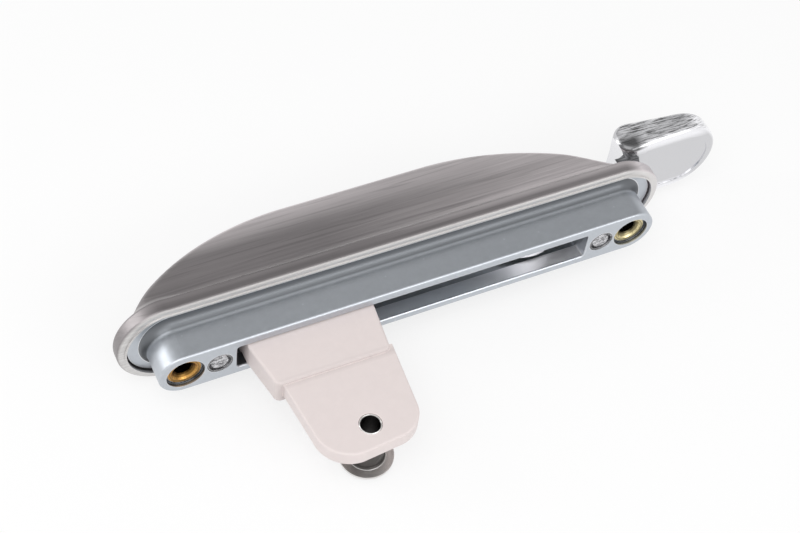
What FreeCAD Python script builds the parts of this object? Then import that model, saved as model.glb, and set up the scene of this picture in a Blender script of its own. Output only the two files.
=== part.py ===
import FreeCAD, Part
import math
import os
import Sketcher
from FreeCAD import Placement, Rotation, Vector

# Multi-point door handle. Millimetres.
# X runs along the length, Y goes from the mounting side into the cover, Z is
# the axis the lever swings about. The origin lies midway between the two
# threaded inserts, on the face of the block that carries the slot.

os.makedirs("parts", exist_ok=True)
doc = FreeCAD.newDocument("door_handle")
sheet = doc.addObject("Spreadsheet::Sheet", "Sizes")
sheet_row = [0]


class Dim:
    """A size that carries its value together with the expression that drives it."""

    def __init__(self, value, text):
        self.value = float(value)
        self.text = text

    def __add__(self, other):
        other = dim(other)
        return Dim(self.value + other.value, "(%s + %s)" % (self.text, other.text))

    def __radd__(self, other):
        return dim(other) + self

    def __sub__(self, other):
        other = dim(other)
        return Dim(self.value - other.value, "(%s - %s)" % (self.text, other.text))

    def __rsub__(self, other):
        return dim(other) - self

    def __mul__(self, other):
        other = dim(other)
        return Dim(self.value * other.value, "(%s * %s)" % (self.text, other.text))

    def __rmul__(self, other):
        return dim(other) * self

    def __truediv__(self, other):
        other = dim(other)
        return Dim(self.value / other.value, "(%s / %s)" % (self.text, other.text))

    def __neg__(self):
        return Dim(-self.value, "(0 - %s)" % self.text)


def dim(number):
    if isinstance(number, Dim):
        return number
    if number < 0:
        return Dim(number, "(0 - %s)" % repr(abs(float(number))))
    return Dim(number, repr(float(number)))


def sine(angle):
    return Dim(math.sin(math.radians(angle.value)), "sin(%s * 1 deg)" % angle.text)


def cosine(angle):
    return Dim(math.cos(math.radians(angle.value)), "cos(%s * 1 deg)" % angle.text)


def tangent(angle):
    return Dim(math.tan(math.radians(angle.value)), "tan(%s * 1 deg)" % angle.text)


def root(amount):
    return Dim(math.sqrt(amount.value), "sqrt(%s)" % amount.text)


def fall_of(radius, reach):
    """How far a circle has fallen from its crest after a given reach."""
    return radius - root(radius * radius - reach * reach)


def size(name, number, note):
    sheet_row[0] += 1
    row = sheet_row[0]
    sheet.set("A%d" % row, note)
    sheet.set("B%d" % row, str(number))
    sheet.setAlias("B%d" % row, name)
    return Dim(number, "Sizes.%s" % name)


# Base casting
mount_half = size("mount_half", 70.0, "half the distance between the inserts")
block_half = size("block_half", 7.7, "half height of the block")
block_deep = size("block_deep", 12.2, "depth of the block in front of the flange")
block_round = size("block_round", 0.7, "rounding of the block's front edge")
block_wall = size("block_wall", 1.6, "wall of the block beside the channel")
flange_flare = size("flange_flare", 1.45, "hollow rounding where the block meets the flange")
flange_half = size("flange_half", 12.5, "half height of the flange plate")
flange_thick = size("flange_thick", 2.6, "thickness of the flange plate")
lip_deep = size("lip_deep", 4.6, "depth of the slot's lips")
lip_reach = size("lip_reach", 1.3, "how far the lips stand over the channel")
slot_corner = size("slot_corner", 1.0, "corner rounding of the slot")
slot_break = size("slot_break", 0.25, "broken edge round the slot")

# Threaded inserts
insert_r = size("insert_r", 4.85, "radius of the insert")
insert_long = size("insert_long", 10.0, "length of the insert")
insert_bore_r = size("insert_bore_r", 2.5, "tapping radius of the insert's thread")
insert_lead = size("insert_lead", 1.3, "lead-in of the insert's bore")
insert_collar = size("insert_collar", 3.4, "length of the insert's front collar")
insert_waist = size("insert_waist", 2.2, "width of the groove round the insert")
waist_deep = size("waist_deep", 0.45, "depth of that groove")
insert_taper = size("insert_taper", 0.6, "length of the insert's tapered end")
recess_ring = size("recess_ring", 0.73, "how much wider the counterbore is than the insert")
insert_recess = size("insert_recess", 1.1, "depth of that counterbore")
screw_room = size("screw_room", 0.6, "how much wider the room behind the insert is than its bore")

# Rivets that hold the chassis
rivet_seat_r = size("rivet_seat_r", 3.8, "radius of the rivet's seat")
rivet_seat = size("rivet_seat", 1.5, "depth of the rivet's seat")
rivet_ring = size("rivet_ring", 0.08, "gap between the rivet and its seat")
rivet_sunk = size("rivet_sunk", 0.35, "how far the rivet's disc lies below the slot face")
rivet_edge = size("rivet_edge", 0.3, "chamfer of the disc")
stake_wide = size("stake_wide", 0.5, "width of the raised ring round the disc")
stake_sunk = size("stake_sunk", 0.1, "how far that ring lies below the slot face")
stake_groove = size("stake_groove", 0.42, "width of the groove between the disc and the ring")
stake_deep = size("stake_deep", 0.75, "depth of that groove below the disc")
rivet_r = size("rivet_r", 2.2, "radius of the rivet's shank")
rivet_tail_r = size("rivet_tail_r", 3.2, "radius of the rivet's tail")
rivet_tail = size("rivet_tail", 0.9, "height of the rivet's tail")
rivet_slope = size("rivet_slope", 0.7, "slope of the rivet's tail")
seat_land = size("seat_land", 0.62, "land between a counterbore and the rivet's seat")
slot_land = size("slot_land", 1.2, "land between the rivet's seat and the slot")

# Cover
rim_lead = size("rim_lead", 1.3, "how far the rim stands in front of the flange")
rim_gap = size("rim_gap", 0.5, "gap between the flange and the rim")
rim_wall = size("rim_wall", 2.6, "width of the rim's front")
rim_tall = size("rim_tall", 5.1, "depth of the rim")
rim_front_round = size("rim_front_round", 1.0, "rounding of the rim's front edge")
rim_back_round = size("rim_back_round", 1.1, "rounding of the rim's back edge")
lip_ring = size("lip_ring", 0.55, "width of the raised inner edge of the rim")
lip_step = size("lip_step", 0.35, "height of that edge")
arch_inset = size("arch_inset", 1.2, "how far the arch stands inside the rim")
arch_lean = size("arch_lean", 17.0, "lean of the arch's sides in degrees")
arch_sunk = size("arch_sunk", 2.4, "how deep the arch starts in the rim")
ridge_y = size("ridge_y", 39.9, "height of the ridge")
ridge_run = size("ridge_run", 44.0, "length of the ridge's fall up to the left insert's axis")
ridge_run_right = size("ridge_run_right", 51.5, "length of its fall up to the right insert's axis")
ridge_drop_r = size("ridge_drop_r", 72.0, "radius of the ridge's fall to the ends")
ridge_round = size("ridge_round", 2.2, "rounding of the ridge's edges")
cover_wall = size("cover_wall", 1.9, "wall of the cover")
window_gap = size("window_gap", 0.6, "gap between the lever and the slot in the ridge")
window_sunk = size("window_sunk", 1.0, "how far over the flange the slot's end begins")
window_left = size("window_left", 21.0, "end of the lever's slot past the pivot")
peg_x = size("peg_x", 34.0, "distance of the cover's pegs from the middle")
peg_r = size("peg_r", 1.7, "radius of a peg")
peg_long = size("peg_long", 1.6, "how far a peg goes into the flange")
boss_r = size("boss_r", 2.7, "radius of the boss behind a peg")
boss_gap = size("boss_gap", 0.5, "gap between a boss and the chassis")

# Fits and cutting
cut_over = size("cut_over", 2.0, "how far cutting outlines run past the solid")
press_gap = size("press_gap", 0.04, "gap left in pressed fits")
run_gap = size("run_gap", 0.06, "running clearance of pins in bores")
side_gap = size("side_gap", 0.25, "sliding clearance of the slider in its channel")

# Chassis, pivot pin, washers and clips
chassis_half = size("chassis_half", 6.9, "half height of the chassis plate")
chassis_end = size("chassis_end", 6.0, "how far the plate runs past the rivets")
chassis_corner = size("chassis_corner", 3.0, "corner rounding of the plate")
chassis_thick = size("chassis_thick", 1.5, "thickness of the plate")
slot_inset = size("slot_inset", 0.9, "how much narrower the plate's slot is than the block's")
ear_thick = size("ear_thick", 1.4, "thickness of the chassis ears")
ear_round = size("ear_round", 4.4, "radius of the ear round the pivot")
ear_foot = size("ear_foot", 7.5, "half width of an ear at its foot")
pivot_sunk = size("pivot_sunk", 9.9, "depth of the lever's pivot below the ridge")
pivot_r = size("pivot_r", 3.0, "radius of the pivot pin")
pin_edge = size("pin_edge", 0.25, "chamfer of the pivot pin")
washer_thick = size("washer_thick", 0.8, "thickness of the pivot washers")
washer_r = size("washer_r", 5.6, "radius of the pivot washers")
washer_play = size("washer_play", 0.05, "play on each side of a washer")
clip_thick = size("clip_thick", 0.6, "thickness of the retaining clips")
clip_r = size("clip_r", 3.95, "outer radius of the retaining clips")
clip_deep = size("clip_deep", 0.5, "depth of the clips' grooves in the pin")
clip_mouth = size("clip_mouth", 50.0, "half angle of a clip's open side in degrees")
pin_tail = size("pin_tail", 0.3, "how far the pin runs past the clips")

# Lever
web_gap = size("web_gap", 0.3, "gap between the lever and the chassis slot")
hub_r = size("hub_r", 7.0, "radius of the lever's hub")
belly_y = size("belly_y", 6.4, "where the lever's belly begins to bow out")
belly_long = size("belly_long", 13.5, "length of the belly")
belly_end = size("belly_end", 7.5, "gap between the belly and the end of the slot")
belly_round = size("belly_round", 14.0, "rounding of the belly")
belly_wall = size("belly_wall", 3.0, "how much the belly's end leans")
belly_rise = size("belly_rise", 6.6, "height of the belly's straight end")
belly_turn = size("belly_turn", 9.0, "hollow rounding behind the belly")
web_run = size("web_run", 10.0, "where the web has cleared the base casting")
web_lift = size("web_lift", 1.0, "gap between the web and the rivet's tail")
web_sunk = size("web_sunk", 1.2, "how far the web lies below the ridge")
crest_x = size("crest_x", 12.0, "where the web's top comes up to the ridge")
web_leave = size("web_leave", 4.0, "where the web's top leaves the ridge before the insert's axis")
neck_inset = size("neck_inset", 1.4, "where the neck begins behind the head's start")
neck_wide = size("neck_wide", 5.6, "width of the lever's neck")
neck_deep = size("neck_deep", 3.4, "how far the web lies below the head at the neck")
neck_turn = size("neck_turn", 6.8, "rounding of the neck's outer bend")
neck_heel = size("neck_heel", 1.8, "end of that bend below the head's back")
neck_gap = size("neck_gap", 0.8, "gap between the neck and the end of its slot")
foot_half = size("foot_half", 8.0, "half height of the neck's wide foot")
foot_gap = size("foot_gap", 1.2, "gap between that foot and the cover")
foot_left = size("foot_left", 2.0, "how far the foot reaches past the head's start")
foot_skirt = size("foot_skirt", 4.1, "height of the foot's flared side")
foot_waist = size("foot_waist", 2.3, "where the foot's waist lies behind the head's start")
foot_rise = size("foot_rise", 6.2, "height of the waist over the foot's end")
foot_hollow = size("foot_hollow", 4.0, "hollow rounding of the waist")
foot_right = size("foot_right", 0.2, "how far the foot runs past the neck")
foot_slant = size("foot_slant", 2.8, "slant of the foot's right side")

head_gap = size("head_gap", 3.7, "height of the head over the rim")
head_thick = size("head_thick", 10.8, "greatest thickness of the thumb head")
head_inset = size("head_inset", 6.6, "where the head begins past the insert's axis")
head_long = size("head_long", 21.2, "from the head's start to its widest place")
head_half = size("head_half", 13.3, "half width of the head, and radius of its nose")
head_side_r = size("head_side_r", 140.0, "radius of the head's sides")
head_edge = size("head_edge", 1.9, "rounding of the head's edges")
head_toe = size("head_toe", 5.0, "rounding of the head's start in front")
head_heel = size("head_heel", 4.4, "rounding of the head's start at the back")
head_fall = size("head_fall", 12.0, "slope of the head's front behind that rounding in degrees")
head_dish = size("head_dish", 130.0, "hollow radius of the head's front")
start_hollow = size("start_hollow", 2.2, "depth of the hollow across the head's start")
start_hollow_r = size("start_hollow_r", 30.0, "radius of that hollow")
field_gap = size("field_gap", 0.8, "where the back field begins past the neck")
head_rim = size("head_rim", 3.2, "width of the rim round the head's back field")
head_field = size("head_field", 0.3, "depth of the head's back field")

# Crank
crank_angle = size("crank_angle", 60.0, "crank angle at each end of the travel in degrees")
leg_half_thick = size("leg_half_thick", 1.5, "half thickness of the crank leg")
leg_half = size("leg_half", 2.9, "half width of the crank leg")
eye_r = size("eye_r", 4.1, "radius of the crank leg's eye")
crank_pin_r = size("crank_pin_r", 1.8, "radius of the crank pin")
bush_r = size("bush_r", 2.9, "radius of the crank bushes")
# The slider moves evenly with the lever's angle while the pin moves along a
# circle, so the groove is wider than the bush by the largest difference.
groove_spare = size("groove_spare", 2.65, "extra half width of the crank groove")

# Drive slider
root_half = size("root_half", 19.0, "half width of the slider's root")
slot_stop = size("slot_stop", 3.0, "gap between the slider and the slot's end at each stop")
root_gap = size("root_gap", 0.1, "extra clearance of the root between the lips")
rib_front = size("rib_front", 0.2, "gap between the slider's ribs and the lips")
slider_cheek = size("slider_cheek", 0.93, "wall of the slider beside the crank groove")
pin_play = size("pin_play", 0.12, "end play of the crank pin in its groove")
groove_play = size("groove_play", 0.4, "room below the bushes at the lowest point")
gap_wide = size("gap_wide", 17.0, "half width of the leg's gap at the slider's back")
gap_lip = size("gap_lip", 0.6, "straight part of that gap")
gap_waist = size("gap_waist", 9.8, "half width of the gap at the slot face")
gap_waist_y = size("gap_waist_y", 2.0, "place of that width")
gap_foot = size("gap_foot", 7.0, "half width of the gap at its end")
gap_wall = size("gap_wall", 2.4, "wall between the gap's end and the root's end")
root_square = size("root_square", 1.0, "straight part of the root's sides in front of the face")
root_slant_left = size("root_slant_left", 2.3, "slant of the root's left side")
root_slant_right = size("root_slant_right", 1.3, "slant of the root's right side")
root_corner = size("root_corner", 2.0, "corner rounding at the root's end")
arm_top = size("arm_top", 3.5, "top of the thinner arm")
arm_thick = size("arm_thick", 5.2, "thickness of the thinner arm")
arm_inset_left = size("arm_inset_left", 4.2, "left side of the arm at its start")
arm_inset_right = size("arm_inset_right", 0.2, "right side of the arm at its start")
tip_inset_left = size("tip_inset_left", 6.1, "left side of the arm at the tip's corner")
tip_inset_right = size("tip_inset_right", 1.8, "right side of the arm at the tip's corner")
tip_round_left = size("tip_round_left", 10.5, "left corner radius at the arm's tip")
tip_round_right = size("tip_round_right", 8.8, "right corner radius at the arm's tip")
tip_past_left = size("tip_past_left", 7.6, "how far the tip's left runs past the roller's axis")
tip_past_right = size("tip_past_right", 6.6, "how far the tip's right runs past it")
arm_edge = size("arm_edge", 0.6, "rounding of the arm's edges")
root_edge = size("root_edge", 0.9, "rounding of the root's edges")
roller_x = size("roller_x", 2.5, "distance of the roller's axis from the root's middle")
arm_reach = size("arm_reach", 19.7, "from the root's end to the roller's axis")

# Hollow rivet and roller
rivet_bore_r = size("rivet_bore_r", 2.7, "bore of the hollow tip rivet")
tube_wall = size("tube_wall", 0.3, "wall of the hollow tip rivet")
ring_wide = size("ring_wide", 0.3, "how much wider the rolled ring is than the tube")
ring_sunk = size("ring_sunk", 0.5, "depth of the ring's seat in the arm")
ring_proud = size("ring_proud", 0.1, "how far the ring stands over the arm")
ring_edge = size("ring_edge", 0.25, "rounding of the ring")
foot_wide = size("foot_wide", 1.1, "how much wider the rivet's foot is than the tube")
foot_thick = size("foot_thick", 0.8, "thickness of the rivet's foot")
roller_edge = size("roller_edge", 0.3, "chamfer of the rivet's foot and the roller's flange")
roller_core_r = size("roller_core_r", 4.8, "radius of the roller's core")
roller_flange_r = size("roller_flange_r", 7.7, "radius of the roller's flange")
roller_long = size("roller_long", 9.6, "length of the roller's core")
roller_flange = size("roller_flange", 1.1, "thickness of the roller's flange")
roller_hollow = size("roller_hollow", 0.6, "hollow between the core and the flange")
roller_washer = size("roller_washer", 0.5, "thickness of the roller's washer")
roller_washer_r = size("roller_washer_r", 5.8, "radius of the roller's washer")

doc.recompute()


# Places and fits worked out from the sizes above
channel_half = block_half - block_wall
slot_half = channel_half - lip_reach
flange_back = block_deep + flange_thick
chassis_back = flange_back + chassis_thick

insert_recess_r = insert_r + recess_ring
rivet_x = mount_half - insert_recess_r - seat_land - rivet_seat_r
slot_half_long = rivet_x - rivet_seat_r - slot_land
rivet_head_r = rivet_seat_r - rivet_ring

rim_front = block_deep - rim_lead
rim_back = rim_front + rim_tall
rim_inner = flange_half + rim_gap
rim_half = rim_inner + rim_wall
arch_foot = rim_half - arch_inset
ridge_left = mount_half - ridge_run
ridge_right = mount_half - ridge_run_right
lean = tangent(arch_lean)

chassis_slot = slot_half - slot_inset
peg_z = chassis_half + boss_r + boss_gap
lever_half = chassis_slot - web_gap
ear_inner = lever_half + washer_thick + washer_play * 2
ear_outer = ear_inner + ear_thick
pivot_y = ridge_y - pivot_sunk

travel_half = slot_half_long - slot_stop - root_half
crank_r = travel_half / sine(crank_angle)
crank_x = -travel_half
crank_y = pivot_y - crank_r * cosine(crank_angle)
root_thick_half = slot_half - side_gap - root_gap
groove_half = bush_r + groove_spare + side_gap
gap_end = crank_r + eye_r + groove_play - pivot_y
root_end = gap_end + gap_wall
roller_y = root_end + arm_reach
crank_pin_end = root_thick_half - slider_cheek - pin_play
bush_low = leg_half_thick + washer_play
bush_long = crank_pin_end - bush_low

head_back = rim_back + head_gap
toe_y = head_back + head_thick - head_toe
head_start = mount_half + head_inset
head_crown = head_start + head_long
neck_left = head_start + neck_inset
neck_right = neck_left + neck_wide
window_half = lever_half + window_gap
window_right = neck_right + neck_gap

tube_r = rivet_bore_r + tube_wall
axis_x = crank_x + roller_x
arm_low = arm_top - arm_thick
washer_low = arm_low - roller_washer - washer_play
roller_top = washer_low - washer_play
roller_low = roller_top - roller_long - roller_flange


def origin_plane(body, role):
    for feature in body.Origin.OriginFeatures:
        if feature.Role == role:
            return feature
    raise RuntimeError("no plane " + role)


def new_body(label):
    body = doc.addObject("PartDesign::Body", label)
    body.Label = label
    return body


def bind(thing, prop, amount):
    amount = dim(amount)
    thing.setExpression(prop, amount.text)


def new_sketch(body, role, label, level=0):
    sketch = body.newObject("Sketcher::SketchObject", label)
    sketch.AttachmentSupport = [(origin_plane(body, role), "")]
    sketch.MapMode = "FlatFace"
    level = dim(level)
    # The X-Z plane's normal points to -Y.
    if role == "XZ_Plane":
        level = -level
    sketch.AttachmentOffset = Placement(Vector(0, 0, level.value), Rotation())
    if level.value != 0:
        sketch.setExpression("AttachmentOffset.Base.z", level.text)
    return sketch


def place_point(sketch, geo, pos, x, y):
    for kind, axis, amount in (("DistanceX", -2, dim(x)), ("DistanceY", -1, dim(y))):
        if amount.value == 0:
            sketch.addConstraint(Sketcher.Constraint("PointOnObject", geo, pos, axis))
            continue
        index = sketch.addConstraint(Sketcher.Constraint(kind, -1, 1, geo, pos, amount.value))
        if "Sizes" in amount.text:
            sketch.setExpression("Constraints[%d]" % index, amount.text)


def set_radius(sketch, geo, radius):
    index = sketch.addConstraint(Sketcher.Constraint("Radius", geo, radius.value))
    if "Sizes" in radius.text:
        sketch.setExpression("Constraints[%d]" % index, radius.text)


def circle(sketch, x, y, radius):
    x, y, radius = dim(x), dim(y), dim(radius)
    shape = Part.Circle(Vector(x.value, y.value, 0), Vector(0, 0, 1), radius.value)
    geo = sketch.addGeometry(shape, False)
    place_point(sketch, geo, 3, x, y)
    set_radius(sketch, geo, radius)


def arc_between(p, q, radius, centre_left):
    mid = (p + q) * 0.5
    along = q - p
    half = along.Length / 2
    side = Vector(-along.y, along.x, 0).normalize()
    reach = math.sqrt(max(radius * radius - half * half, 0))
    centre = mid + side * (reach if centre_left else -reach)
    first, last = (p, q) if centre_left else (q, p)
    start = math.atan2(first.y - centre.y, first.x - centre.x)
    end = math.atan2(last.y - centre.y, last.x - centre.x)
    return Part.ArcOfCircle(Part.Circle(centre, Vector(0, 0, 1), radius), start, end)


def outline(sketch, points):
    """Closed outline. A point is (x, y), or (x, y, radius, turn) when an arc
    leaves it; turn is "left" when the arc's centre lies left of the way."""
    spots = [Vector(dim(p[0]).value, dim(p[1]).value, 0) for p in points]
    ends = []
    for i, point in enumerate(points):
        here = spots[i]
        there = spots[(i + 1) % len(points)]
        if len(point) == 2:
            geo = sketch.addGeometry(Part.LineSegment(here, there), False)
            ends.append((geo, 1, 2))
            continue
        radius = dim(point[2])
        left = point[3] == "left"
        geo = sketch.addGeometry(arc_between(here, there, radius.value, left), False)
        ends.append((geo, 1, 2) if left else (geo, 2, 1))
    for i, (geo, first, last) in enumerate(ends):
        after = ends[(i + 1) % len(ends)]
        sketch.addConstraint(Sketcher.Constraint("Coincident", geo, last, after[0], after[1]))
    for i, (geo, first, last) in enumerate(ends):
        place_point(sketch, geo, first, points[i][0], points[i][1])
        if len(points[i]) > 2:
            set_radius(sketch, geo, dim(points[i][2]))


def rectangle(sketch, x1, x2, y1, y2):
    outline(sketch, [(x1, y1), (x2, y1), (x2, y2), (x1, y2)])


def rounded_rectangle(sketch, x, y, r, mid=0):
    """Rounded rectangle round (mid, 0), x and y its half sizes."""
    outline(sketch, [
        (mid - (x - r), -y), (mid + x - r, -y, r, "left"),
        (mid + x, -(y - r)), (mid + x, y - r, r, "left"),
        (mid + x - r, y), (mid - (x - r), y, r, "left"),
        (mid - x, y - r), (mid - x, -(y - r), r, "left"),
    ])


def stadium(sketch, half_long, radius):
    """Two half circles round (+-half_long, 0), joined by straight sides."""
    right = sketch.addGeometry(Part.ArcOfCircle(
        Part.Circle(Vector(half_long.value, 0, 0), Vector(0, 0, 1), radius.value),
        -math.pi / 2, math.pi / 2), False)
    left = sketch.addGeometry(Part.ArcOfCircle(
        Part.Circle(Vector(-half_long.value, 0, 0), Vector(0, 0, 1), radius.value),
        math.pi / 2, 3 * math.pi / 2), False)
    top = sketch.addGeometry(Part.LineSegment(
        Vector(half_long.value, radius.value, 0), Vector(-half_long.value, radius.value, 0)), False)
    low = sketch.addGeometry(Part.LineSegment(
        Vector(-half_long.value, -radius.value, 0), Vector(half_long.value, -radius.value, 0)), False)
    for a, a_pos, b, b_pos in ((right, 2, top, 1), (top, 2, left, 1),
                               (left, 2, low, 1), (low, 2, right, 1)):
        sketch.addConstraint(Sketcher.Constraint("Tangent", a, a_pos, b, b_pos))
    place_point(sketch, right, 3, half_long, 0)
    place_point(sketch, left, 3, -half_long, 0)
    set_radius(sketch, right, radius)


def pad(body, sketch, length, toward_y=False, middle=False, taper=None):
    feature = body.newObject("PartDesign::Pad", sketch.Name + "_pad")
    feature.Profile = sketch
    feature.Length = dim(length).value
    bind(feature, "Length", length)
    if middle:
        feature.Midplane = True
    if toward_y:
        feature.Reversed = True
    if taper is not None:
        feature.TaperAngle = dim(taper).value
        bind(feature, "TaperAngle", taper)
    sketch.Visibility = False
    body.Tip = feature
    doc.recompute()
    return feature


def pocket(body, sketch, length=None, back=False, middle=False):
    """Pocket of a given depth, or through everything when none is given."""
    feature = body.newObject("PartDesign::Pocket", sketch.Name + "_pocket")
    feature.Profile = sketch
    if length is None:
        feature.Type = 1
    else:
        feature.Length = dim(length).value
        bind(feature, "Length", length)
    feature.Midplane = middle
    feature.Reversed = back
    sketch.Visibility = False
    body.Tip = feature
    doc.recompute()
    return feature


def edges_where(feature, test):
    names = []
    for number, edge in enumerate(feature.Shape.Edges):
        if test(edge.BoundBox):
            names.append("Edge%d" % (number + 1))
    if not names:
        raise RuntimeError("no edges found on " + feature.Name)
    return names


def dress(body, kind, base, names, prop, amount):
    feature = body.newObject("PartDesign::" + kind, base.Name + "_" + kind.lower())
    feature.Base = (base, names)
    setattr(feature, prop, dim(amount).value)
    bind(feature, prop, amount)
    body.Tip = feature
    doc.recompute()
    return feature


def fillet(body, base, test, radius):
    return dress(body, "Fillet", base, edges_where(base, test), "Radius", radius)


def chamfer(body, base, test, width):
    return dress(body, "Chamfer", base, edges_where(base, test), "Size", width)


def level_at(box, axis, height):
    """Whether a box lies flat at a height along an axis."""
    height = dim(height).value
    low = getattr(box, axis + "Min")
    high = getattr(box, axis + "Max")
    return abs(low - height) < 0.01 and abs(high - height) < 0.01


def within(box, axis, reach):
    """Whether a box stays within a reach of the origin along an axis."""
    reach = reach.value + 0.01
    return getattr(box, axis + "Max") < reach and getattr(box, axis + "Min") > -reach


def turned(label, role, points, x=0, y=0):
    """Body of revolution: profile points are (radius, height) round the
    vertical axis of the plane, moved to (x, y)."""
    body = new_body(label)
    sketch = new_sketch(body, role, label + "_profile")
    outline(sketch, points)
    feature = body.newObject("PartDesign::Revolution", label + "_turn")
    feature.Profile = sketch
    feature.ReferenceAxis = (sketch, ["V_Axis"])
    feature.Angle = 360.0
    sketch.Visibility = False
    body.Tip = feature
    x, y = dim(x), dim(y)
    body.Placement = Placement(Vector(x.value, y.value, 0), Rotation())
    bind(body, "Placement.Base.x", x)
    bind(body, "Placement.Base.y", y)
    return body


# Base casting
base = new_body("base_casting")
block_sketch = new_sketch(base, "XZ_Plane", "block_outline")
stadium(block_sketch, mount_half, block_half)
block = pad(base, block_sketch, block_deep + flange_thick / 2, toward_y=True)
flange_sketch = new_sketch(base, "XZ_Plane", "flange_outline", block_deep)
stadium(flange_sketch, mount_half, flange_half)
flange = pad(base, flange_sketch, flange_thick, toward_y=True)
flared = fillet(base, flange, lambda b: level_at(b, "Y", block_deep)
                and within(b, "Z", block_half), flange_flare)
fillet(base, flared, lambda b: level_at(b, "Y", 0), block_round)
lip_sketch = new_sketch(base, "XZ_Plane", "slot_lips")
rounded_rectangle(lip_sketch, slot_half_long, slot_half, slot_corner)
lips = pocket(base, lip_sketch, lip_deep + cut_over)
chamfer(base, lips, lambda b: level_at(b, "Y", 0) and within(b, "Z", slot_half), slot_break)
channel_sketch = new_sketch(base, "XZ_Plane", "slot_channel", lip_deep)
rounded_rectangle(channel_sketch, slot_half_long, channel_half, slot_corner)
pocket(base, channel_sketch, flange_back)


def row_of_pockets(name, half_span, radius, depth):
    sketch = new_sketch(base, "XZ_Plane", name)
    circle(sketch, half_span, 0, radius)
    circle(sketch, -half_span, 0, radius)
    pocket(base, sketch, depth)


row_of_pockets("insert_recesses", mount_half, insert_recess_r, insert_recess)
row_of_pockets("insert_seats", mount_half, insert_r + press_gap, insert_recess + insert_long)
row_of_pockets("screw_rooms", mount_half, insert_bore_r + screw_room, flange_back + cut_over)
row_of_pockets("rivet_seats", rivet_x, rivet_seat_r, rivet_seat)
row_of_pockets("rivet_holes", rivet_x, rivet_r + press_gap, flange_back + cut_over)

peg_places = [(peg_x, peg_z), (-peg_x, peg_z), (peg_x, -peg_z), (-peg_x, -peg_z)]
peg_hole_sketch = new_sketch(base, "XZ_Plane", "peg_holes", flange_back)
for peg_dx, peg_dz in peg_places:
    circle(peg_hole_sketch, peg_dx, peg_dz, peg_r + press_gap)
pocket(base, peg_hole_sketch, peg_long + side_gap, back=True)

# Brass inserts: a groove between two collars, and a tapped bore
insert_stop = insert_recess + insert_long
waist_start = insert_recess + insert_collar
waist_stop = waist_start + insert_waist
insert_profile = [
    (insert_bore_r + insert_lead, insert_recess),
    (insert_r, insert_recess),
    (insert_r, waist_start),
    (insert_r - waist_deep, waist_start + waist_deep),
    (insert_r - waist_deep, waist_stop - waist_deep),
    (insert_r, waist_stop),
    (insert_r, insert_stop - insert_taper),
    (insert_r - waist_deep, insert_stop),
    (insert_bore_r, insert_stop),
    (insert_bore_r, insert_recess + insert_lead),
]
turned("threaded_insert_left", "XY_Plane", insert_profile, -mount_half, 0)
turned("threaded_insert_right", "XY_Plane", insert_profile, mount_half, 0)

# Rivets through the base casting and the chassis
tail_start = chassis_back + press_gap
disc_r = rivet_head_r - stake_wide - stake_groove
rivet_profile = [
    (0, rivet_sunk),
    (disc_r - rivet_edge, rivet_sunk),
    (disc_r, rivet_sunk + rivet_edge),
    (disc_r, rivet_sunk + stake_deep),
    (disc_r + stake_groove, rivet_sunk + stake_deep),
    (disc_r + stake_groove, stake_sunk),
    (rivet_head_r, stake_sunk),
    (rivet_head_r, rivet_seat),
    (rivet_r, rivet_seat),
    (rivet_r, tail_start),
    (rivet_tail_r, tail_start),
    (rivet_tail_r - rivet_slope, tail_start + rivet_tail),
    (0, tail_start + rivet_tail),
]
turned("chassis_rivet_left", "XY_Plane", rivet_profile, -rivet_x, 0)
turned("chassis_rivet_right", "XY_Plane", rivet_profile, rivet_x, 0)

# Chassis: a plate behind the flange keeps the slider in its channel, and two
# ears carry the lever's pivot pin.
chassis = new_body("pivot_chassis")
plate_sketch = new_sketch(chassis, "XZ_Plane", "chassis_plate", flange_back)
rounded_rectangle(plate_sketch, rivet_x + chassis_end, chassis_half, chassis_corner)
rounded_rectangle(plate_sketch, slot_half_long, chassis_slot, slot_corner)
circle(plate_sketch, rivet_x, 0, rivet_r + press_gap)
circle(plate_sketch, -rivet_x, 0, rivet_r + press_gap)
pad(chassis, plate_sketch, chassis_thick, toward_y=True)
for side, start in (("upper", ear_inner), ("lower", -ear_outer)):
    ear_sketch = new_sketch(chassis, "XY_Plane", "ear_" + side, start)
    ear_low = chassis_back - chassis_thick / 4
    outline(ear_sketch, [
        (-ear_foot, ear_low), (ear_foot, ear_low),
        (ear_round, pivot_y, ear_round, "left"),
        (0, pivot_y + ear_round, ear_round, "left"),
        (-ear_round, pivot_y),
    ])
    circle(ear_sketch, 0, pivot_y, pivot_r + press_gap)
    pad(chassis, ear_sketch, ear_thick)

# Pivot pin with its washers and retaining clips
groove_start = ear_outer
groove_stop = ear_outer + clip_thick + washer_play * 2
pin_end = groove_stop + pin_tail
pin_neck_r = pivot_r - clip_deep
turned("lever_pivot_pin", "XZ_Plane", [
    (0, -pin_end), (pivot_r - pin_edge, -pin_end), (pivot_r, -(pin_end - pin_edge)),
    (pivot_r, -groove_stop), (pin_neck_r, -groove_stop),
    (pin_neck_r, -groove_start), (pivot_r, -groove_start),
    (pivot_r, groove_start), (pin_neck_r, groove_start),
    (pin_neck_r, groove_stop), (pivot_r, groove_stop),
    (pivot_r, pin_end - pin_edge), (pivot_r - pin_edge, pin_end), (0, pin_end),
], 0, pivot_y)
washer_start = lever_half + washer_play
for label, low in (("pivot_washer", washer_start), ("friction_washer", -(washer_start + washer_thick))):
    turned(label, "XZ_Plane", [
        (pivot_r + run_gap, low), (washer_r, low),
        (washer_r, low + washer_thick), (pivot_r + run_gap, low + washer_thick),
    ], 0, pivot_y)
clip_inner_r = pin_neck_r + press_gap
clip_start = groove_start + washer_play
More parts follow.
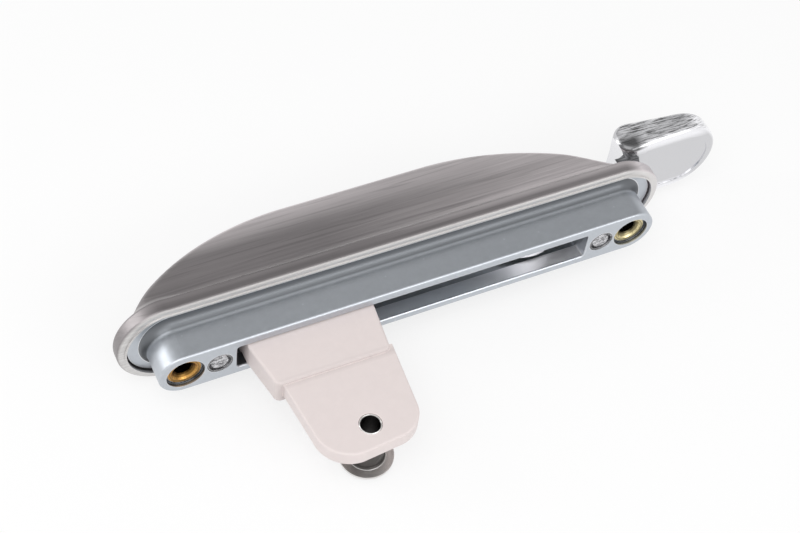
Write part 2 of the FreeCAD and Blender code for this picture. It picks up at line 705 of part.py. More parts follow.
for label, low in (("pivot_clip_upper", clip_start), ("pivot_clip_lower", -(clip_start + clip_thick))):
    clip = new_body(label)
    clip_sketch = new_sketch(clip, "XY_Plane", label + "_outline", low)
    outer_dx = clip_r * cosine(clip_mouth)
    outer_dy = clip_r * sine(clip_mouth)
    inner_dx = clip_inner_r * cosine(clip_mouth)
    inner_dy = clip_inner_r * sine(clip_mouth)
    outline(clip_sketch, [
        (-outer_dx, pivot_y - outer_dy, clip_r, "left"), (clip_r, pivot_y, clip_r, "left"),
        (-outer_dx, pivot_y + outer_dy), (-inner_dx, pivot_y + inner_dy, clip_inner_r, "right"),
        (clip_inner_r, pivot_y, clip_inner_r, "right"), (-inner_dx, pivot_y - inner_dy),
    ])
    pad(clip, clip_sketch, clip_thick)

# Lever: web with the hub and the neck
lever = new_body("lever")
belly_right = slot_half_long - belly_end
web_low = chassis_back + press_gap + rivet_tail + web_lift
web_top = ridge_y - web_sunk
web_round = ridge_drop_r - web_sunk
leave_x = mount_half - web_leave
leave_y = web_top - fall_of(web_round, leave_x - ridge_right)
web_sketch = new_sketch(lever, "XY_Plane", "lever_web")
outline(web_sketch, [
    (0, pivot_y - hub_r), (belly_right - belly_long, belly_y, belly_round, "left"),
    (belly_right, belly_y), (belly_right + belly_wall, belly_y + belly_rise, belly_turn, "right"),
    (belly_right + web_run, web_low), (neck_left, head_back - neck_deep, neck_turn, "left"),
    (neck_right, head_back - neck_heel), (neck_right, head_back + head_thick / 3),
    (neck_left, head_back + head_thick / 3), (neck_left, leave_y),
    (leave_x, leave_y, web_round, "left"),
    (ridge_right, web_top), (crest_x, web_top), (0, pivot_y + hub_r, hub_r, "left"),
    (-hub_r, pivot_y, hub_r, "left"),
])
pad(lever, web_sketch, lever_half * 2, middle=True)

# Crank leg
leg_sketch = new_sketch(lever, "XY_Plane", "crank_leg")
leg_dx = leg_half * cosine(crank_angle)
leg_dy = leg_half * sine(crank_angle)
outline(leg_sketch, [
    (-leg_dx, pivot_y + leg_dy), (crank_x - leg_dx, crank_y + leg_dy),
    (crank_x + leg_dx, crank_y - leg_dy), (leg_dx, pivot_y - leg_dy),
])
pad(lever, leg_sketch, leg_half_thick * 2, middle=True)
eye_sketch = new_sketch(lever, "XY_Plane", "crank_eye")
circle(eye_sketch, crank_x, crank_y, eye_r)
pad(lever, eye_sketch, leg_half_thick * 2, middle=True)


# Thumb head: a wedge with a hollow front, on the neck's wide foot
def head_outline(sketch, start, inset):
    """The head's outline from a given start, a given inset smaller all round."""
    nose = head_half - inset
    flank = head_side_r - inset
    start_half = nose - fall_of(flank, head_crown - start)
    outline(sketch, [
        (start, -start_half, flank, "left"), (head_crown, -nose, nose, "left"),
        (head_crown + nose, 0, nose, "left"), (head_crown, nose, flank, "left"),
        (start, start_half),
    ])


head_sketch = new_sketch(lever, "XZ_Plane", "thumb_head", head_back)
head_outline(head_sketch, head_start, dim(0))
pad(lever, head_sketch, head_thick + cut_over, toward_y=True)
heel_sketch = new_sketch(lever, "XY_Plane", "head_heel_cut")
outline(heel_sketch, [
    (head_start, head_back), (head_start + head_heel, head_back, head_heel, "right"),
    (head_start, head_back + head_heel),
])
pocket(lever, heel_sketch, head_half * 4, middle=True)
front_sketch = new_sketch(lever, "XY_Plane", "head_front_cut")
fall_x = head_start + head_toe + head_toe * sine(head_fall)
fall_y = toe_y + head_toe * cosine(head_fall)
dish_x = fall_x + head_dish * sine(head_fall)
dish_y = fall_y + head_dish * cosine(head_fall)
far_x = head_crown + head_half + cut_over
far_reach = far_x - dish_x
far_y = dish_y - root(head_dish * head_dish - far_reach * far_reach)
cut_top = head_back + head_thick + cut_over * 2
outline(front_sketch, [
    (head_start - cut_over, toe_y), (head_start, toe_y, head_toe, "right"),
    (fall_x, fall_y, head_dish, "left"), (far_x, far_y), (far_x, cut_top), (head_start - cut_over, cut_top),
])
head = pocket(lever, front_sketch, head_half * 4, middle=True)
# edges all round both flanks, without the seams that run across the head
head_left = (head_start - press_gap).value
head_low = (head_back - press_gap).value
head_span = (head_half + head_edge).value
fillet(lever, head, lambda b: b.XMin > head_left and b.YMin > head_low
       and b.ZLength < head_span and not within(b, "Z", lever_half), head_edge)
hollow_x = head_start + start_hollow - start_hollow_r
hollow_left = start_hollow_r - start_hollow
hollow_half = root(start_hollow_r * start_hollow_r - hollow_left * hollow_left)
web_x = hollow_x + root(start_hollow_r * start_hollow_r - lever_half * lever_half)
upper_hollow = new_sketch(lever, "XZ_Plane", "start_hollow_upper", head_back)
outline(upper_hollow, [
    (head_start - cut_over, lever_half), (web_x, lever_half, start_hollow_r, "left"),
    (head_start, hollow_half), (head_start - cut_over, hollow_half),
])
pocket(lever, upper_hollow, head_thick + cut_over)
lower_hollow = new_sketch(lever, "XZ_Plane", "start_hollow_lower", head_back)
outline(lower_hollow, [
    (head_start - cut_over, -hollow_half), (head_start, -hollow_half, start_hollow_r, "left"),
    (web_x, -lever_half), (head_start - cut_over, -lever_half),
])
pocket(lever, lower_hollow, head_thick + cut_over)
middle_hollow = new_sketch(lever, "XZ_Plane", "start_hollow_middle", rim_back + foot_gap + foot_rise)
outline(middle_hollow, [
    (head_start - cut_over, -lever_half), (web_x, -lever_half, start_hollow_r, "left"),
    (web_x, lever_half), (head_start - cut_over, lever_half),
])
pocket(lever, middle_hollow, head_thick + cut_over)
foot_sketch = new_sketch(lever, "XY_Plane", "neck_foot")
foot_low = rim_back + foot_gap
foot_x = head_start - foot_left
waist_y = foot_low + foot_rise
foot_end = neck_right + foot_right
outline(foot_sketch, [
    (foot_x, foot_low), (foot_end - foot_slant, foot_low), (foot_end, waist_y),
    (head_start + foot_waist, waist_y, foot_hollow, "right"), (foot_x, foot_low + foot_skirt),
])
pad(lever, foot_sketch, foot_half * 2, middle=True)
field_sketch = new_sketch(lever, "XZ_Plane", "head_field", head_back)
head_outline(field_sketch, foot_end + field_gap, head_rim)
pocket(lever, field_sketch, head_field)
bore_sketch = new_sketch(lever, "XY_Plane", "pivot_bore")
circle(bore_sketch, 0, pivot_y, pivot_r + run_gap)
circle(bore_sketch, crank_x, crank_y, crank_pin_r + press_gap)
pocket(lever, bore_sketch, lever_half * 4, middle=True)

# Crank pin with its bushes
turned("crank_pin", "XZ_Plane", [
    (0, -crank_pin_end), (crank_pin_r, -crank_pin_end),
    (crank_pin_r, crank_pin_end), (0, crank_pin_end),
], crank_x, crank_y)
for label, low in (("crank_bush_upper", bush_low), ("crank_bush_lower", -(bush_low + bush_long))):
    turned(label, "XZ_Plane", [
        (crank_pin_r + run_gap, low), (bush_r, low),
        (bush_r, low + bush_long), (crank_pin_r + run_gap, low + bush_long),
    ], crank_x, crank_y)

# Drive slider: ribs that run behind the lips, a thick root and a thinner arm
slider = new_body("drive_slider")
root_left = crank_x - root_half
root_right = crank_x + root_half
rib_stop = flange_back - side_gap
rib_sketch = new_sketch(slider, "XY_Plane", "slider_ribs")
rectangle(rib_sketch, root_left, root_right, lip_deep + rib_front, rib_stop)
pad(slider, rib_sketch, (channel_half - side_gap) * 2, middle=True)
root_sketch = new_sketch(slider, "XY_Plane", "slider_root")
root_foot_left = root_left + root_slant_left
root_foot_right = root_right - root_slant_right
outline(root_sketch, [
    (root_left, rib_stop), (root_left, -root_square),
    (root_foot_left, -(root_end - root_corner), root_corner, "left"),
    (root_foot_left + root_corner, -root_end),
    (root_foot_right - root_corner, -root_end, root_corner, "left"),
    (root_foot_right, -(root_end - root_corner)), (root_right, -root_square), (root_right, rib_stop),
])
pad(slider, root_sketch, root_thick_half * 2, middle=True)
arm_sketch = new_sketch(slider, "XY_Plane", "slider_arm", arm_low)
tip_left = root_left + tip_inset_left
tip_right = root_right - tip_inset_right
tip_end_left = roller_y + tip_past_left
tip_end_right = roller_y + tip_past_right
arm_start = root_end - root_corner
outline(arm_sketch, [
    (root_left + arm_inset_left, -arm_start),
    (tip_left, -(tip_end_left - tip_round_left), tip_round_left, "left"),
    (tip_left + tip_round_left, -tip_end_left),
    (tip_right - tip_round_right, -tip_end_right, tip_round_right, "left"),
    (tip_right, -(tip_end_right - tip_round_right)),
    (root_right - arm_inset_right, -arm_start),
])
arm = pad(slider, arm_sketch, arm_thick)
below_root = -(root_end + press_gap).value
arm = fillet(slider, arm, lambda b: (level_at(b, "Z", arm_top) or level_at(b, "Z", arm_low))
             and b.YMin < below_root, arm_edge)
arm = fillet(slider, arm, lambda b: (level_at(b, "Z", root_thick_half) or level_at(b, "Z", -root_thick_half))
             and b.YMax < -(root_square / 2).value, root_edge)
gap_sketch = new_sketch(slider, "XY_Plane", "crank_gap")
outline(gap_sketch, [
    (crank_x - gap_wide, rib_stop + cut_over), (crank_x - gap_wide, rib_stop - gap_lip),
    (crank_x - gap_waist, gap_waist_y), (crank_x - gap_foot, -gap_end),
    (crank_x + gap_foot, -gap_end), (crank_x + gap_waist, gap_waist_y),
    (crank_x + gap_wide, rib_stop - gap_lip), (crank_x + gap_wide, rib_stop + cut_over),
])
pocket(slider, gap_sketch, (leg_half_thick + side_gap) * 2, middle=True)
groove_sketch = new_sketch(slider, "XY_Plane", "crank_groove")
groove_low = pivot_y - crank_r - bush_r - groove_play
rectangle(groove_sketch, crank_x - groove_half, crank_x + groove_half, groove_low, rib_stop + cut_over)
pocket(slider, groove_sketch, (crank_pin_end + pin_play) * 2, middle=True)
tip_hole_sketch = new_sketch(slider, "XY_Plane", "tip_hole")
circle(tip_hole_sketch, axis_x, -roller_y, tube_r + press_gap)
pocket(slider, tip_hole_sketch, arm_thick * 4, middle=True)
ring_seat_sketch = new_sketch(slider, "XY_Plane", "ring_seat", arm_top)
circle(ring_seat_sketch, axis_x, -roller_y, tube_r + ring_wide + press_gap)
pocket(slider, ring_seat_sketch, ring_sunk)

# Roller under the tip, carried by a hollow rivet
turned("roller_washer", "XZ_Plane", [
    (tube_r + run_gap, washer_low), (roller_washer_r, washer_low),
    (roller_washer_r, washer_low + roller_washer), (tube_r + run_gap, washer_low + roller_washer),
], axis_x, -roller_y)
flange_top = roller_low + roller_flange
turned("tie_bar_roller", "XZ_Plane", [
    (tube_r + run_gap, roller_low), (roller_flange_r - roller_edge, roller_low),
    (roller_flange_r, roller_low + roller_edge), (roller_flange_r, flange_top),
    (roller_core_r + roller_hollow, flange_top), (roller_core_r, flange_top + roller_hollow),
    (roller_core_r, roller_top - roller_edge), (roller_core_r - roller_edge, roller_top),
    (tube_r + run_gap, roller_top),
], axis_x, -roller_y)
foot_top = roller_low - washer_play
ring_low = arm_top - ring_sunk
ring_top = arm_top + ring_proud
ring_r = tube_r + ring_wide
turned("tip_rivet", "XZ_Plane", [
    (rivet_bore_r, foot_top - foot_thick), (tube_r + foot_wide, foot_top - foot_thick),
    (tube_r + foot_wide, foot_top - roller_edge), (tube_r + foot_wide - roller_edge, foot_top),
    (tube_r, foot_top), (tube_r, ring_low), (ring_r, ring_low), (ring_r, ring_top - ring_edge),
    (ring_r - ring_edge, ring_top), (rivet_bore_r + ring_edge, ring_top),
    (rivet_bore_r, ring_top - ring_edge),
], axis_x, -roller_y)


# Cover: rim and leaning arch, hollowed by the same shape one wall smaller
def arched(label, foot_y, foot_half, top_y, drop_r, floor_y):
    """Stadium with leaning sides, cut to the arch along the length."""
    body = new_body(label)
    sketch = new_sketch(body, "XZ_Plane", label + "_foot", foot_y)
    stadium(sketch, mount_half, foot_half)
    pad(body, sketch, top_y + cut_over - foot_y, toward_y=True, taper=-arch_lean)
    # the falling arcs' reach down to the level of the floor
    left_over = drop_r - (top_y - floor_y)
    fall_long = root(drop_r * drop_r - left_over * left_over)
    far = mount_half + rim_half * 2
    high = top_y + rim_half
    cut = new_sketch(body, "XY_Plane", label + "_arch")
    outline(cut, [
        (-far, floor_y), (-(ridge_left + fall_long), floor_y, drop_r, "right"),
        (-ridge_left, top_y), (ridge_right, top_y, drop_r, "right"),
        (ridge_right + fall_long, floor_y), (far, floor_y), (far, high), (-far, high),
    ])
    pocket(body, cut, rim_half * 4, middle=True)
    return body


shell_body = arched("cover_arch", rim_back - arch_sunk, arch_foot + arch_sunk * lean,
                    ridge_y, ridge_drop_r, rim_back)
rim_sketch = new_sketch(shell_body, "XZ_Plane", "cover_rim", rim_front + lip_step)
stadium(rim_sketch, mount_half, rim_half)
rim = pad(shell_body, rim_sketch, rim_tall - lip_step, toward_y=True)
rim = fillet(shell_body, rim, lambda b: level_at(b, "Y", rim_front + lip_step), rim_front_round)
rim = fillet(shell_body, rim, lambda b: level_at(b, "Y", rim_back)
             and not within(b, "Z", arch_foot + press_gap), rim_back_round)
fillet(shell_body, rim, lambda b: b.YMax > (rim_back + rim_tall).value
       and not within(b, "Z", slot_half / 2) and b.XLength > rim_half.value, ridge_round)
lip_ring_sketch = new_sketch(shell_body, "XZ_Plane", "cover_lip", rim_front + lip_step)
stadium(lip_ring_sketch, mount_half, rim_inner + lip_ring)
pad(shell_body, lip_ring_sketch, lip_step)
mouth_sketch = new_sketch(shell_body, "XZ_Plane", "cover_mouth", rim_front)
stadium(mouth_sketch, mount_half, rim_inner)
pocket(shell_body, mouth_sketch, flange_back - rim_front)

core_foot = flange_back - press_gap
core_half = arch_foot + (rim_back - core_foot) * lean - cover_wall / cosine(arch_lean)
core_body = arched("cover_core", core_foot, core_half, ridge_y - cover_wall,
                   ridge_drop_r - cover_wall, rim_back - cover_wall)
shell = doc.addObject("Part::Cut", "cover_shell")
shell.Base = shell_body
shell.Tool = core_body


def posts(name, radius, start, length):
    """Four round posts at the pegs' places, along Y."""
    made = []
    for number, (post_x, post_z) in enumerate(peg_places):
        post = doc.addObject("Part::Cylinder", "%s_%d" % (name, number + 1))
        post.Placement = Placement(Vector(post_x.value, start.value, post_z.value),
                                   Rotation(Vector(1, 0, 0), -90))
        bind(post, "Placement.Base.x", post_x)
        bind(post, "Placement.Base.y", start)
        bind(post, "Placement.Base.z", post_z)
        bind(post, "Radius", radius)
        bind(post, "Height", length)
        made.append(post)
    return made


bosses = doc.addObject("Part::MultiFuse", "cover_bosses")
bosses.Shapes = posts("boss", boss_r, flange_back, (ridge_y - flange_back) / 2)
bosses_inside = doc.addObject("Part::Common", "bosses_inside")
bosses_inside.Base = bosses
bosses_inside.Tool = shell_body
joined = doc.addObject("Part::MultiFuse", "cover_joined")
joined.Shapes = [shell, bosses_inside] + posts("peg", peg_r, flange_back - peg_long, peg_long * 2)
window = doc.addObject("Part::Box", "window_run")
window_low = flange_back + window_sunk
window.Placement = Placement(Vector(-window_left.value, window_low.value, -window_half.value), Rotation())
bind(window, "Length", window_right + window_left)
bind(window, "Width", ridge_y)
bind(window, "Height", window_half * 2)
bind(window, "Placement.Base.x", -window_left)
bind(window, "Placement.Base.y", window_low)
bind(window, "Placement.Base.z", -window_half)
window_end = doc.addObject("Part::Cylinder", "window_end")
window_end.Placement = Placement(
    Vector(-window_left.value, window_low.value, 0),
    Rotation(Vector(1, 0, 0), -90),
)
bind(window_end, "Radius", window_half)
bind(window_end, "Height", ridge_y)
bind(window_end, "Placement.Base.x", -window_left)
bind(window_end, "Placement.Base.y", window_low)
opening = doc.addObject("Part::Fuse", "lever_window")
opening.Base = window
opening.Tool = window_end
cover = doc.addObject("Part::Cut", "housing_cover")
cover.Base = joined
cover.Tool = opening
cover.Label = "housing_cover"

doc.recompute()

NODES = [
    "housing_cover", "base_casting", "pivot_chassis",
    "threaded_insert_left", "threaded_insert_right",
    "chassis_rivet_left", "chassis_rivet_right",
    "lever_pivot_pin", "pivot_washer", "friction_washer",
    "pivot_clip_upper", "pivot_clip_lower",
    "lever", "crank_pin", "crank_bush_upper", "crank_bush_lower",
    "drive_slider", "tip_rivet", "roller_washer", "tie_bar_roller",
]

for thing in doc.Objects:
    for state in thing.State:
        if state in ("Invalid", "Error"):
            raise RuntimeError("%s is %s" % (thing.Name, state))

for node in NODES:
    found = doc.getObjectsByLabel(node)[0]
    shape = found.Shape
    if shape.isNull() or not shape.isValid() or len(shape.Solids) != 1:
        raise RuntimeError("%s is not one valid solid: %d" % (node, len(shape.Solids)))
    shape.exportStep("parts/%s.step" % node)
    box = shape.optimalBoundingBox(False)
    print("%-24s vol %9.1f  x %7.2f %7.2f  y %7.2f %7.2f  z %7.2f %7.2f" % (
        node, shape.Volume, box.XMin, box.XMax, box.YMin, box.YMax, box.ZMin, box.ZMax))
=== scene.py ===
import math

import bmesh
import bpy
from mathutils import Matrix, Vector


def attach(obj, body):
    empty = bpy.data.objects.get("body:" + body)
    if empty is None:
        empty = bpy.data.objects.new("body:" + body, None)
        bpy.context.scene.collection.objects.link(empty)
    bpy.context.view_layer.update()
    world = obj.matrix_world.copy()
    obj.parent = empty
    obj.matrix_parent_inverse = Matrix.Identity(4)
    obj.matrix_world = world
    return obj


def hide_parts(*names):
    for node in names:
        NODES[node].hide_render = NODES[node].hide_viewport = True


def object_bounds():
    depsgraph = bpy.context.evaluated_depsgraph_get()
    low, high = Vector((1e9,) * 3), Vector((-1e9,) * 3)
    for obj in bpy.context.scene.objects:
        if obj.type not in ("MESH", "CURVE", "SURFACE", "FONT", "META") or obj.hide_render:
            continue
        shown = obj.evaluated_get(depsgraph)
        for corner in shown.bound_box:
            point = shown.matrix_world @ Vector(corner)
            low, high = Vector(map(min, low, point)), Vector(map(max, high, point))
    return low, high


bl_info = {
    "name": "Multi-point door handle",
    "version": (1, 0, 0),
    "blender": (4, 5, 0),
    "location": "View3D > Sidebar > Handle",
    "description": "Finishes, small details and studio for a multi-point door handle",
    "category": "Object",
}

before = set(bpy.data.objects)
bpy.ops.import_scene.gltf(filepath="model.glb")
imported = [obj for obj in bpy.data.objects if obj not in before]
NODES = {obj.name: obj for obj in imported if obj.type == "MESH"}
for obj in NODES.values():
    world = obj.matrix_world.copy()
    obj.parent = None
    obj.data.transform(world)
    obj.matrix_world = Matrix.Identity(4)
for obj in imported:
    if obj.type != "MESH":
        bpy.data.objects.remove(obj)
CAD_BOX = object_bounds()
MM = 0.001

# Places on the part, in metres in the part's frame
INSERT_REACH = 0.07         # the inserts stand at plus and minus this along X
STUD_REACH = 0.06           # and the staked rivets at this
BLOCK_HALF = 0.0077         # half the block's width
FLANGE_FRONT = 0.0122       # the flange's front face
RIM_LINE = 0.0166           # the line between the rim and the arch
STEP_DOWN = 0.0150          # the slider's step lies this far in front of the block's face
TIP_AXIS = (-0.0305, -0.0347)   # X and Y of the axis that the roller and the tip's rivet share

# Every mask below runs from its first value to its second. They are in metres or, where
# the name says facing, parts of the surface's direction.

# Masks on the cover
ARCH_LOW = (0.0370, 0.0290)
ARCH_SHADE_ALONG = (-0.02, 0.04)  # painted shade at the first, nearly none at the second
RIGHT_END_HIGHLIGHT = (0.035, 0.08)
UPPER_LEFT_HIGHLIGHT = (0.0, -0.045)
RIM_ENDS = (0.0730, 0.0780)
RIM_SHADE_BAND = (RIM_LINE, 0.0156)
RIM_UNDER_SHADE = (0.0146, 0.0130)
RIM_LIP = (0.0118, 0.0113)
HIGHLIGHT_LINE_WIDTH = (0.0009, 0.0003)

# Masks on the base casting
BELOW_FACE = (0.0001, 0.0006)
INSERT_SEAT_SHADE = (0.0060, 0.0057)
STUD_SEAT_SHADE = (0.0042, 0.0039)
SHADED_SIDE_FACING = (0.85, 0.97)
SLOT_ACROSS = (0.0055, 0.0050)
SLOT_ALONG = (0.0560, 0.0555)
SLOT_MOUTH = (0.0003, 0.0008)
SLOT_FACING = (0.5, 0.8)
SLOT_HIGHLIGHT_ALONG = (0.015, 0.040)
SLOT_SHADE = (-0.036, -0.046)
PLATE_FRONT = (0.0108, 0.0116)
PLATE_ACROSS = (0.007, 0.0105)
HOLLOW_START = (0.0095, 0.0101)
HOLLOW_END = (0.012178, 0.012168)
FLARE_CREST = (0.012168, 0.012178)

# Masks on the lever
HEAD_SIDE_FACING = (0.72, 0.94)
HEAD_BACK_FACING = (-0.5, -0.9)
OUTSIDE_FACING = (-0.05, 0.15)
HEAD_BORDER_HIGHLIGHT = (0.0086, 0.0112)
NECK_ALONG = (0.0850, 0.0815)
NECK_DEPTH = (0.0260, 0.0235)
NECK_FACING = (0.1, 0.4)

# Masks on the small parts
STEP_SHADE = (0.0017, 0.0)
STUD_EDGE = (0.0029, 0.0033)

# Rings, in millimetres. Those of the inserts also hold a level, from a dark bore, painted as shade,
# outwards.
INSERT_BORE_SHADE = 0.06
INSERT_RINGS = ((2.75, 0.4), (3.25, 1.2), (3.95, 0.55), (4.3, 1.3))
INSERT_RING_BLUR = 0.2
TURNED_RING_BLUR = 0.25
ROLLER_CORE = 5.2
RIVET_BORE = 2.72

# Colours that stay the same whatever the finishes are
WHITE = (1.0, 1.0, 1.0, 1.0)
LINE_HIGHLIGHT = (0.62, 0.60, 0.60, 1.0)
LIP_HIGHLIGHT = (0.74, 0.73, 0.72, 1.0)
COVER_WEAR = (0.72, 0.71, 0.70, 1.0)
CASTING_WEAR = (0.80, 0.81, 0.83, 1.0)
SLOT_HIGHLIGHT = (0.98, 0.98, 1.0, 1.0)
CREST_HIGHLIGHT = (0.92, 0.92, 0.93, 1.0)
STUD_DARK = (0.20, 0.20, 0.21, 1.0)
STUD_PALE = (0.72, 0.72, 0.74, 1.0)
STUD_RING = (0.12, 0.12, 0.12, 1.0)
TURNED_DIRT = (0.2, 0.2, 0.2, 1.0)
ZINC_PLATE = (0.50, 0.51, 0.52)
BLACK_PLASTIC = (0.03, 0.03, 0.03)
BORE_DARK = (0.045, 0.04, 0.038)
# Painted highlight: the gain below lightens the steel of the roller and the tip's rivet.
STEEL_HIGHLIGHT_GAIN = 1.7           # the tip's turned pieces against plain steel

# Textures
GRAIN_TILT = 0.83           # share of Z that is added to Y across the grain
GRAIN_DEPTH = 220.0         # grain cells in a metre of Z
BROAD_STRETCH = (0.5, 0.06, 0.3)
SCRATCH_STRETCH = (1.4, 0.55, 0.5)
NOISE_SPAN = (0.3, 0.7)
SCRATCH_SPAN = (0.57, 0.68)
PATCH_SCALE = 260.0
PATCH_SPAN = (0.3, 0.65)
PIT_SPAN = (0.05, 0.09)
WEAR_GAIN = 6.0
WAVE_SCALE = 2600.0
WAVE_SPAN = (0.35, 0.7)
HEAD_LINE_SPAN = (0.2, 0.62)
HEAD_CLOUD_SPAN = (0.1, 0.6)
HAMMER_SPAN = (0.2, 0.7)
STAIN_SPAN = (0.45, 0.6)

# Meshes made here
SMOOTH_ANGLE = 30.0         # edges sharper than this stay sharp, in degrees
MERGE_REACH = 1e-6
RIM_CUTS = 14
PULL_ACROSS = (0.005, 0.013)
FLARE_TURNS = 28
FLARE_RINGS = 12
FLARE_PROUD = 0.00001       # keeps the flare just in front of the flange's own face

# Studio: each soft box has its place, width and height
SOFT_BOXES = {
    "Key soft box": ((0.25, -0.66, 0.47), 0.7, 0.3),
    "Strip soft box": ((-0.60, 0.39, 0.24), 0.14, 0.5),
    "Fill soft box": ((-0.35, -0.25, 0.75), 0.8, 0.8),
}
AIM_PLACE = (0.0, 0.01, 0.0)
CARD_PLACE = (0.24, 0.62, 0.56)
CARD_SCALE = (1.5, 1.0, 1.0)
FLOOR_SIZE = 4.0
FLOOR_GAP = 0.00005

# Camera of the photograph, in the part's frame
CAMERA_PLACE = (-0.160055, -0.249431, 0.404155)
CAMERA_RIGHT = (0.90592, -0.41356, 0.09093)
CAMERA_UP = (0.28228, 0.74990, 0.59831)
CAMERA_BACK = (-0.31563, -0.51635, 0.79609)
SENSOR_WIDTH = 36.0
CLIP_START = 0.01


def colour_prop(name, text, default):
    return bpy.props.FloatVectorProperty(
        name=name, description=text, default=default, min=0.0, max=1.0, size=3, subtype="COLOR")


def length_prop(name, text, millimetres):
    return bpy.props.FloatProperty(
        name=name, description=text, default=millimetres * MM, min=0.0, unit="LENGTH",
        subtype="DISTANCE")


def factor_prop(name, text, default):
    return bpy.props.FloatProperty(
        name=name, description=text, default=default, min=0.0, max=1.0, subtype="FACTOR")


def power_prop(name, text, default):
    return bpy.props.FloatProperty(
        name=name, description=text, default=default, min=0.0, unit="POWER", subtype="POWER")


class HandleFinishes(bpy.types.PropertyGroup):
    cover: colour_prop("Cover", "Brushed satin nickel of the cover", (0.525, 0.49, 0.497))
    casting: colour_prop("Casting", "Satin plated base casting", (0.53, 0.56, 0.60))
    chrome: colour_prop("Lever", "Bright plating of the lever", (0.72, 0.72, 0.74))
    slider: colour_prop("Slider", "Moulded plastic of the drive slider", (0.76, 0.68, 0.665))
    brass: colour_prop("Left insert", "Dark brass of the left threaded insert", (0.46, 0.25, 0.07))
    pale_brass: colour_prop("Right insert", "Pale brass of the right insert", (0.60, 0.52, 0.30))
    steel: colour_prop("Steel", "Turned steel of pins and roller", (0.50, 0.49, 0.48))
    floor: colour_prop("Floor", "Pale floor", (0.95, 0.95, 0.95))


class HandleShape(bpy.types.PropertyGroup):
    rim_pull: length_prop("Rim pull", "How far the rim is drawn in along the long sides", 2.05)
    rim_top: length_prop("Rim top", "Depth up to which the rim is drawn in fully", 15.5)
    blend_top: length_prop("Blend top", "Depth at which the arch is back at its own width", 28.0)
    end_start: length_prop("End start", "Distance from the middle where the pull starts to fade", 60.0)
    end_stop: length_prop("End stop", "Distance from the middle where the fade ends", 74.0)
    right_keep: factor_prop("Right end", "Share of the pull that stays at the lever's end", 0.5)
    flare_radius: length_prop("Flare", "Hollow rounding between the block and the flange", 3.25)
    flare_end: length_prop("Flare at the ends", "How far the rounding reaches out past the ends", 1.7)


class HandleStudio(bpy.types.PropertyGroup):
    lens: bpy.props.FloatProperty(
        name="Lens", description="Focal length on a 36 mm wide sensor, in millimetres",
        default=79.153, min=20.0, max=300.0)
    key_power: power_prop("Key light", "Power of the soft box in front", 1.6)
    strip_power: power_prop("Strip light", "Power of the upright strip at the left", 0.7)
    fill_power: power_prop("Fill light", "Power of the soft box overhead", 3.0)
    world_level: factor_prop("World", "Strength of the surrounding light", 0.62)
    card_level: factor_prop("Card", "Brightness of the grey card behind the part", 0.5)
    floor_level: factor_prop("Floor white", "How far the seen floor is lifted to plain white", 0.75)


# Node helpers

def feed(tree, socket, source):
    """Link another socket to this one, or give it a plain value."""
    if isinstance(source, bpy.types.NodeSocket):
        tree.links.new(source, socket)
    else:
        socket.default_value = source


def add_node(tree, kind, sources=None, **settings):
    node = tree.nodes.new(kind)
    for key, value in settings.items():
        setattr(node, key, value)
    for label, source in (sources or {}).items():
        feed(tree, node.inputs[label], source)
    return node


def find_node(tree, kind):
    return next(node for node in tree.nodes if node.type == kind)


def maths(tree, operation, a, b=0.0):
    return add_node(tree, "ShaderNodeMath", {0: a, 1: b}, operation=operation).outputs[0]


def absolute(tree, value):
    return maths(tree, "ABSOLUTE", value)


def inverse(tree, mask):
    return maths(tree, "SUBTRACT", 1.0, mask)


def product(tree, value, *factors):
    for factor in factors:
        value = maths(tree, "MULTIPLY", value, factor)
    return value


def vector_maths(tree, operation, a, b):
    return add_node(tree, "ShaderNodeVectorMath", {0: a, 1: b}, operation=operation)


def ramp(tree, source, low, high, start=0.0, end=1.0):
    return add_node(tree, "ShaderNodeMapRange", {
        "Value": source, "From Min": low, "From Max": high,
        "To Min": start, "To Max": end}).outputs[0]


def noise(tree, point, scale, detail, roughness=0.5):
    return add_node(tree, "ShaderNodeTexNoise", {
        "Vector": point, "Scale": scale, "Detail": detail, "Roughness": roughness}).outputs[0]


def blend_colours(tree, factor, a, b):
    """Colour a where the factor is black, colour b where it is white."""
    # the Mix node has a set of sockets for each type: 6, 7 and output 2 are its colours
    return add_node(tree, "ShaderNodeMix", {0: factor, 6: a, 7: b}, data_type="RGBA").outputs[2]


def between(tree, mask, start, end):
    """A mask from zero to one, brought between two other values and held there."""
    return ramp(tree, mask, 0.0, 1.0, start, end)


def tinted(tree, tone, mask, colour, amount):
    """The tone with some of a colour laid over it where the mask is white."""
    return blend_colours(tree, product(tree, mask, amount), tone, colour)


def object_place(tree):
    return add_node(tree, "ShaderNodeTexCoord").outputs["Object"]


def split(tree, vector):
    return add_node(tree, "ShaderNodeSeparateXYZ", {0: vector}).outputs


def own_place(tree):
    """X, Y and Z on the piece itself, so that a mask moves with it."""
    return split(tree, object_place(tree))


def own_facing(tree):
    """X, Y and Z of the surface's direction on the piece itself."""
    return split(tree, add_node(tree, "ShaderNodeTexCoord").outputs["Normal"])


def off_axis(tree, a, b):
    """Distance from an axis, from the two ways across it."""
    square = maths(tree, "ADD", product(tree, a, a), product(tree, b, b))
    return maths(tree, "SQRT", square)


def off_pair(tree, place, reach):
    """Distance from the two axes that stand at plus and minus a reach along X."""
    along = maths(tree, "SUBTRACT", absolute(tree, place[0]), reach)
    return off_axis(tree, along, place[2])


def bump(tree, height, strength, distance):
    return add_node(tree, "ShaderNodeBump", {
        "Height": height, "Strength": strength, "Distance": distance}).outputs[0]


def rgba(colour, level=1.0):
    """A colour made darker or brighter by a level, with full alpha."""
    return (colour[0] * level, colour[1] * level, colour[2] * level, 1.0)


# Shared node groups

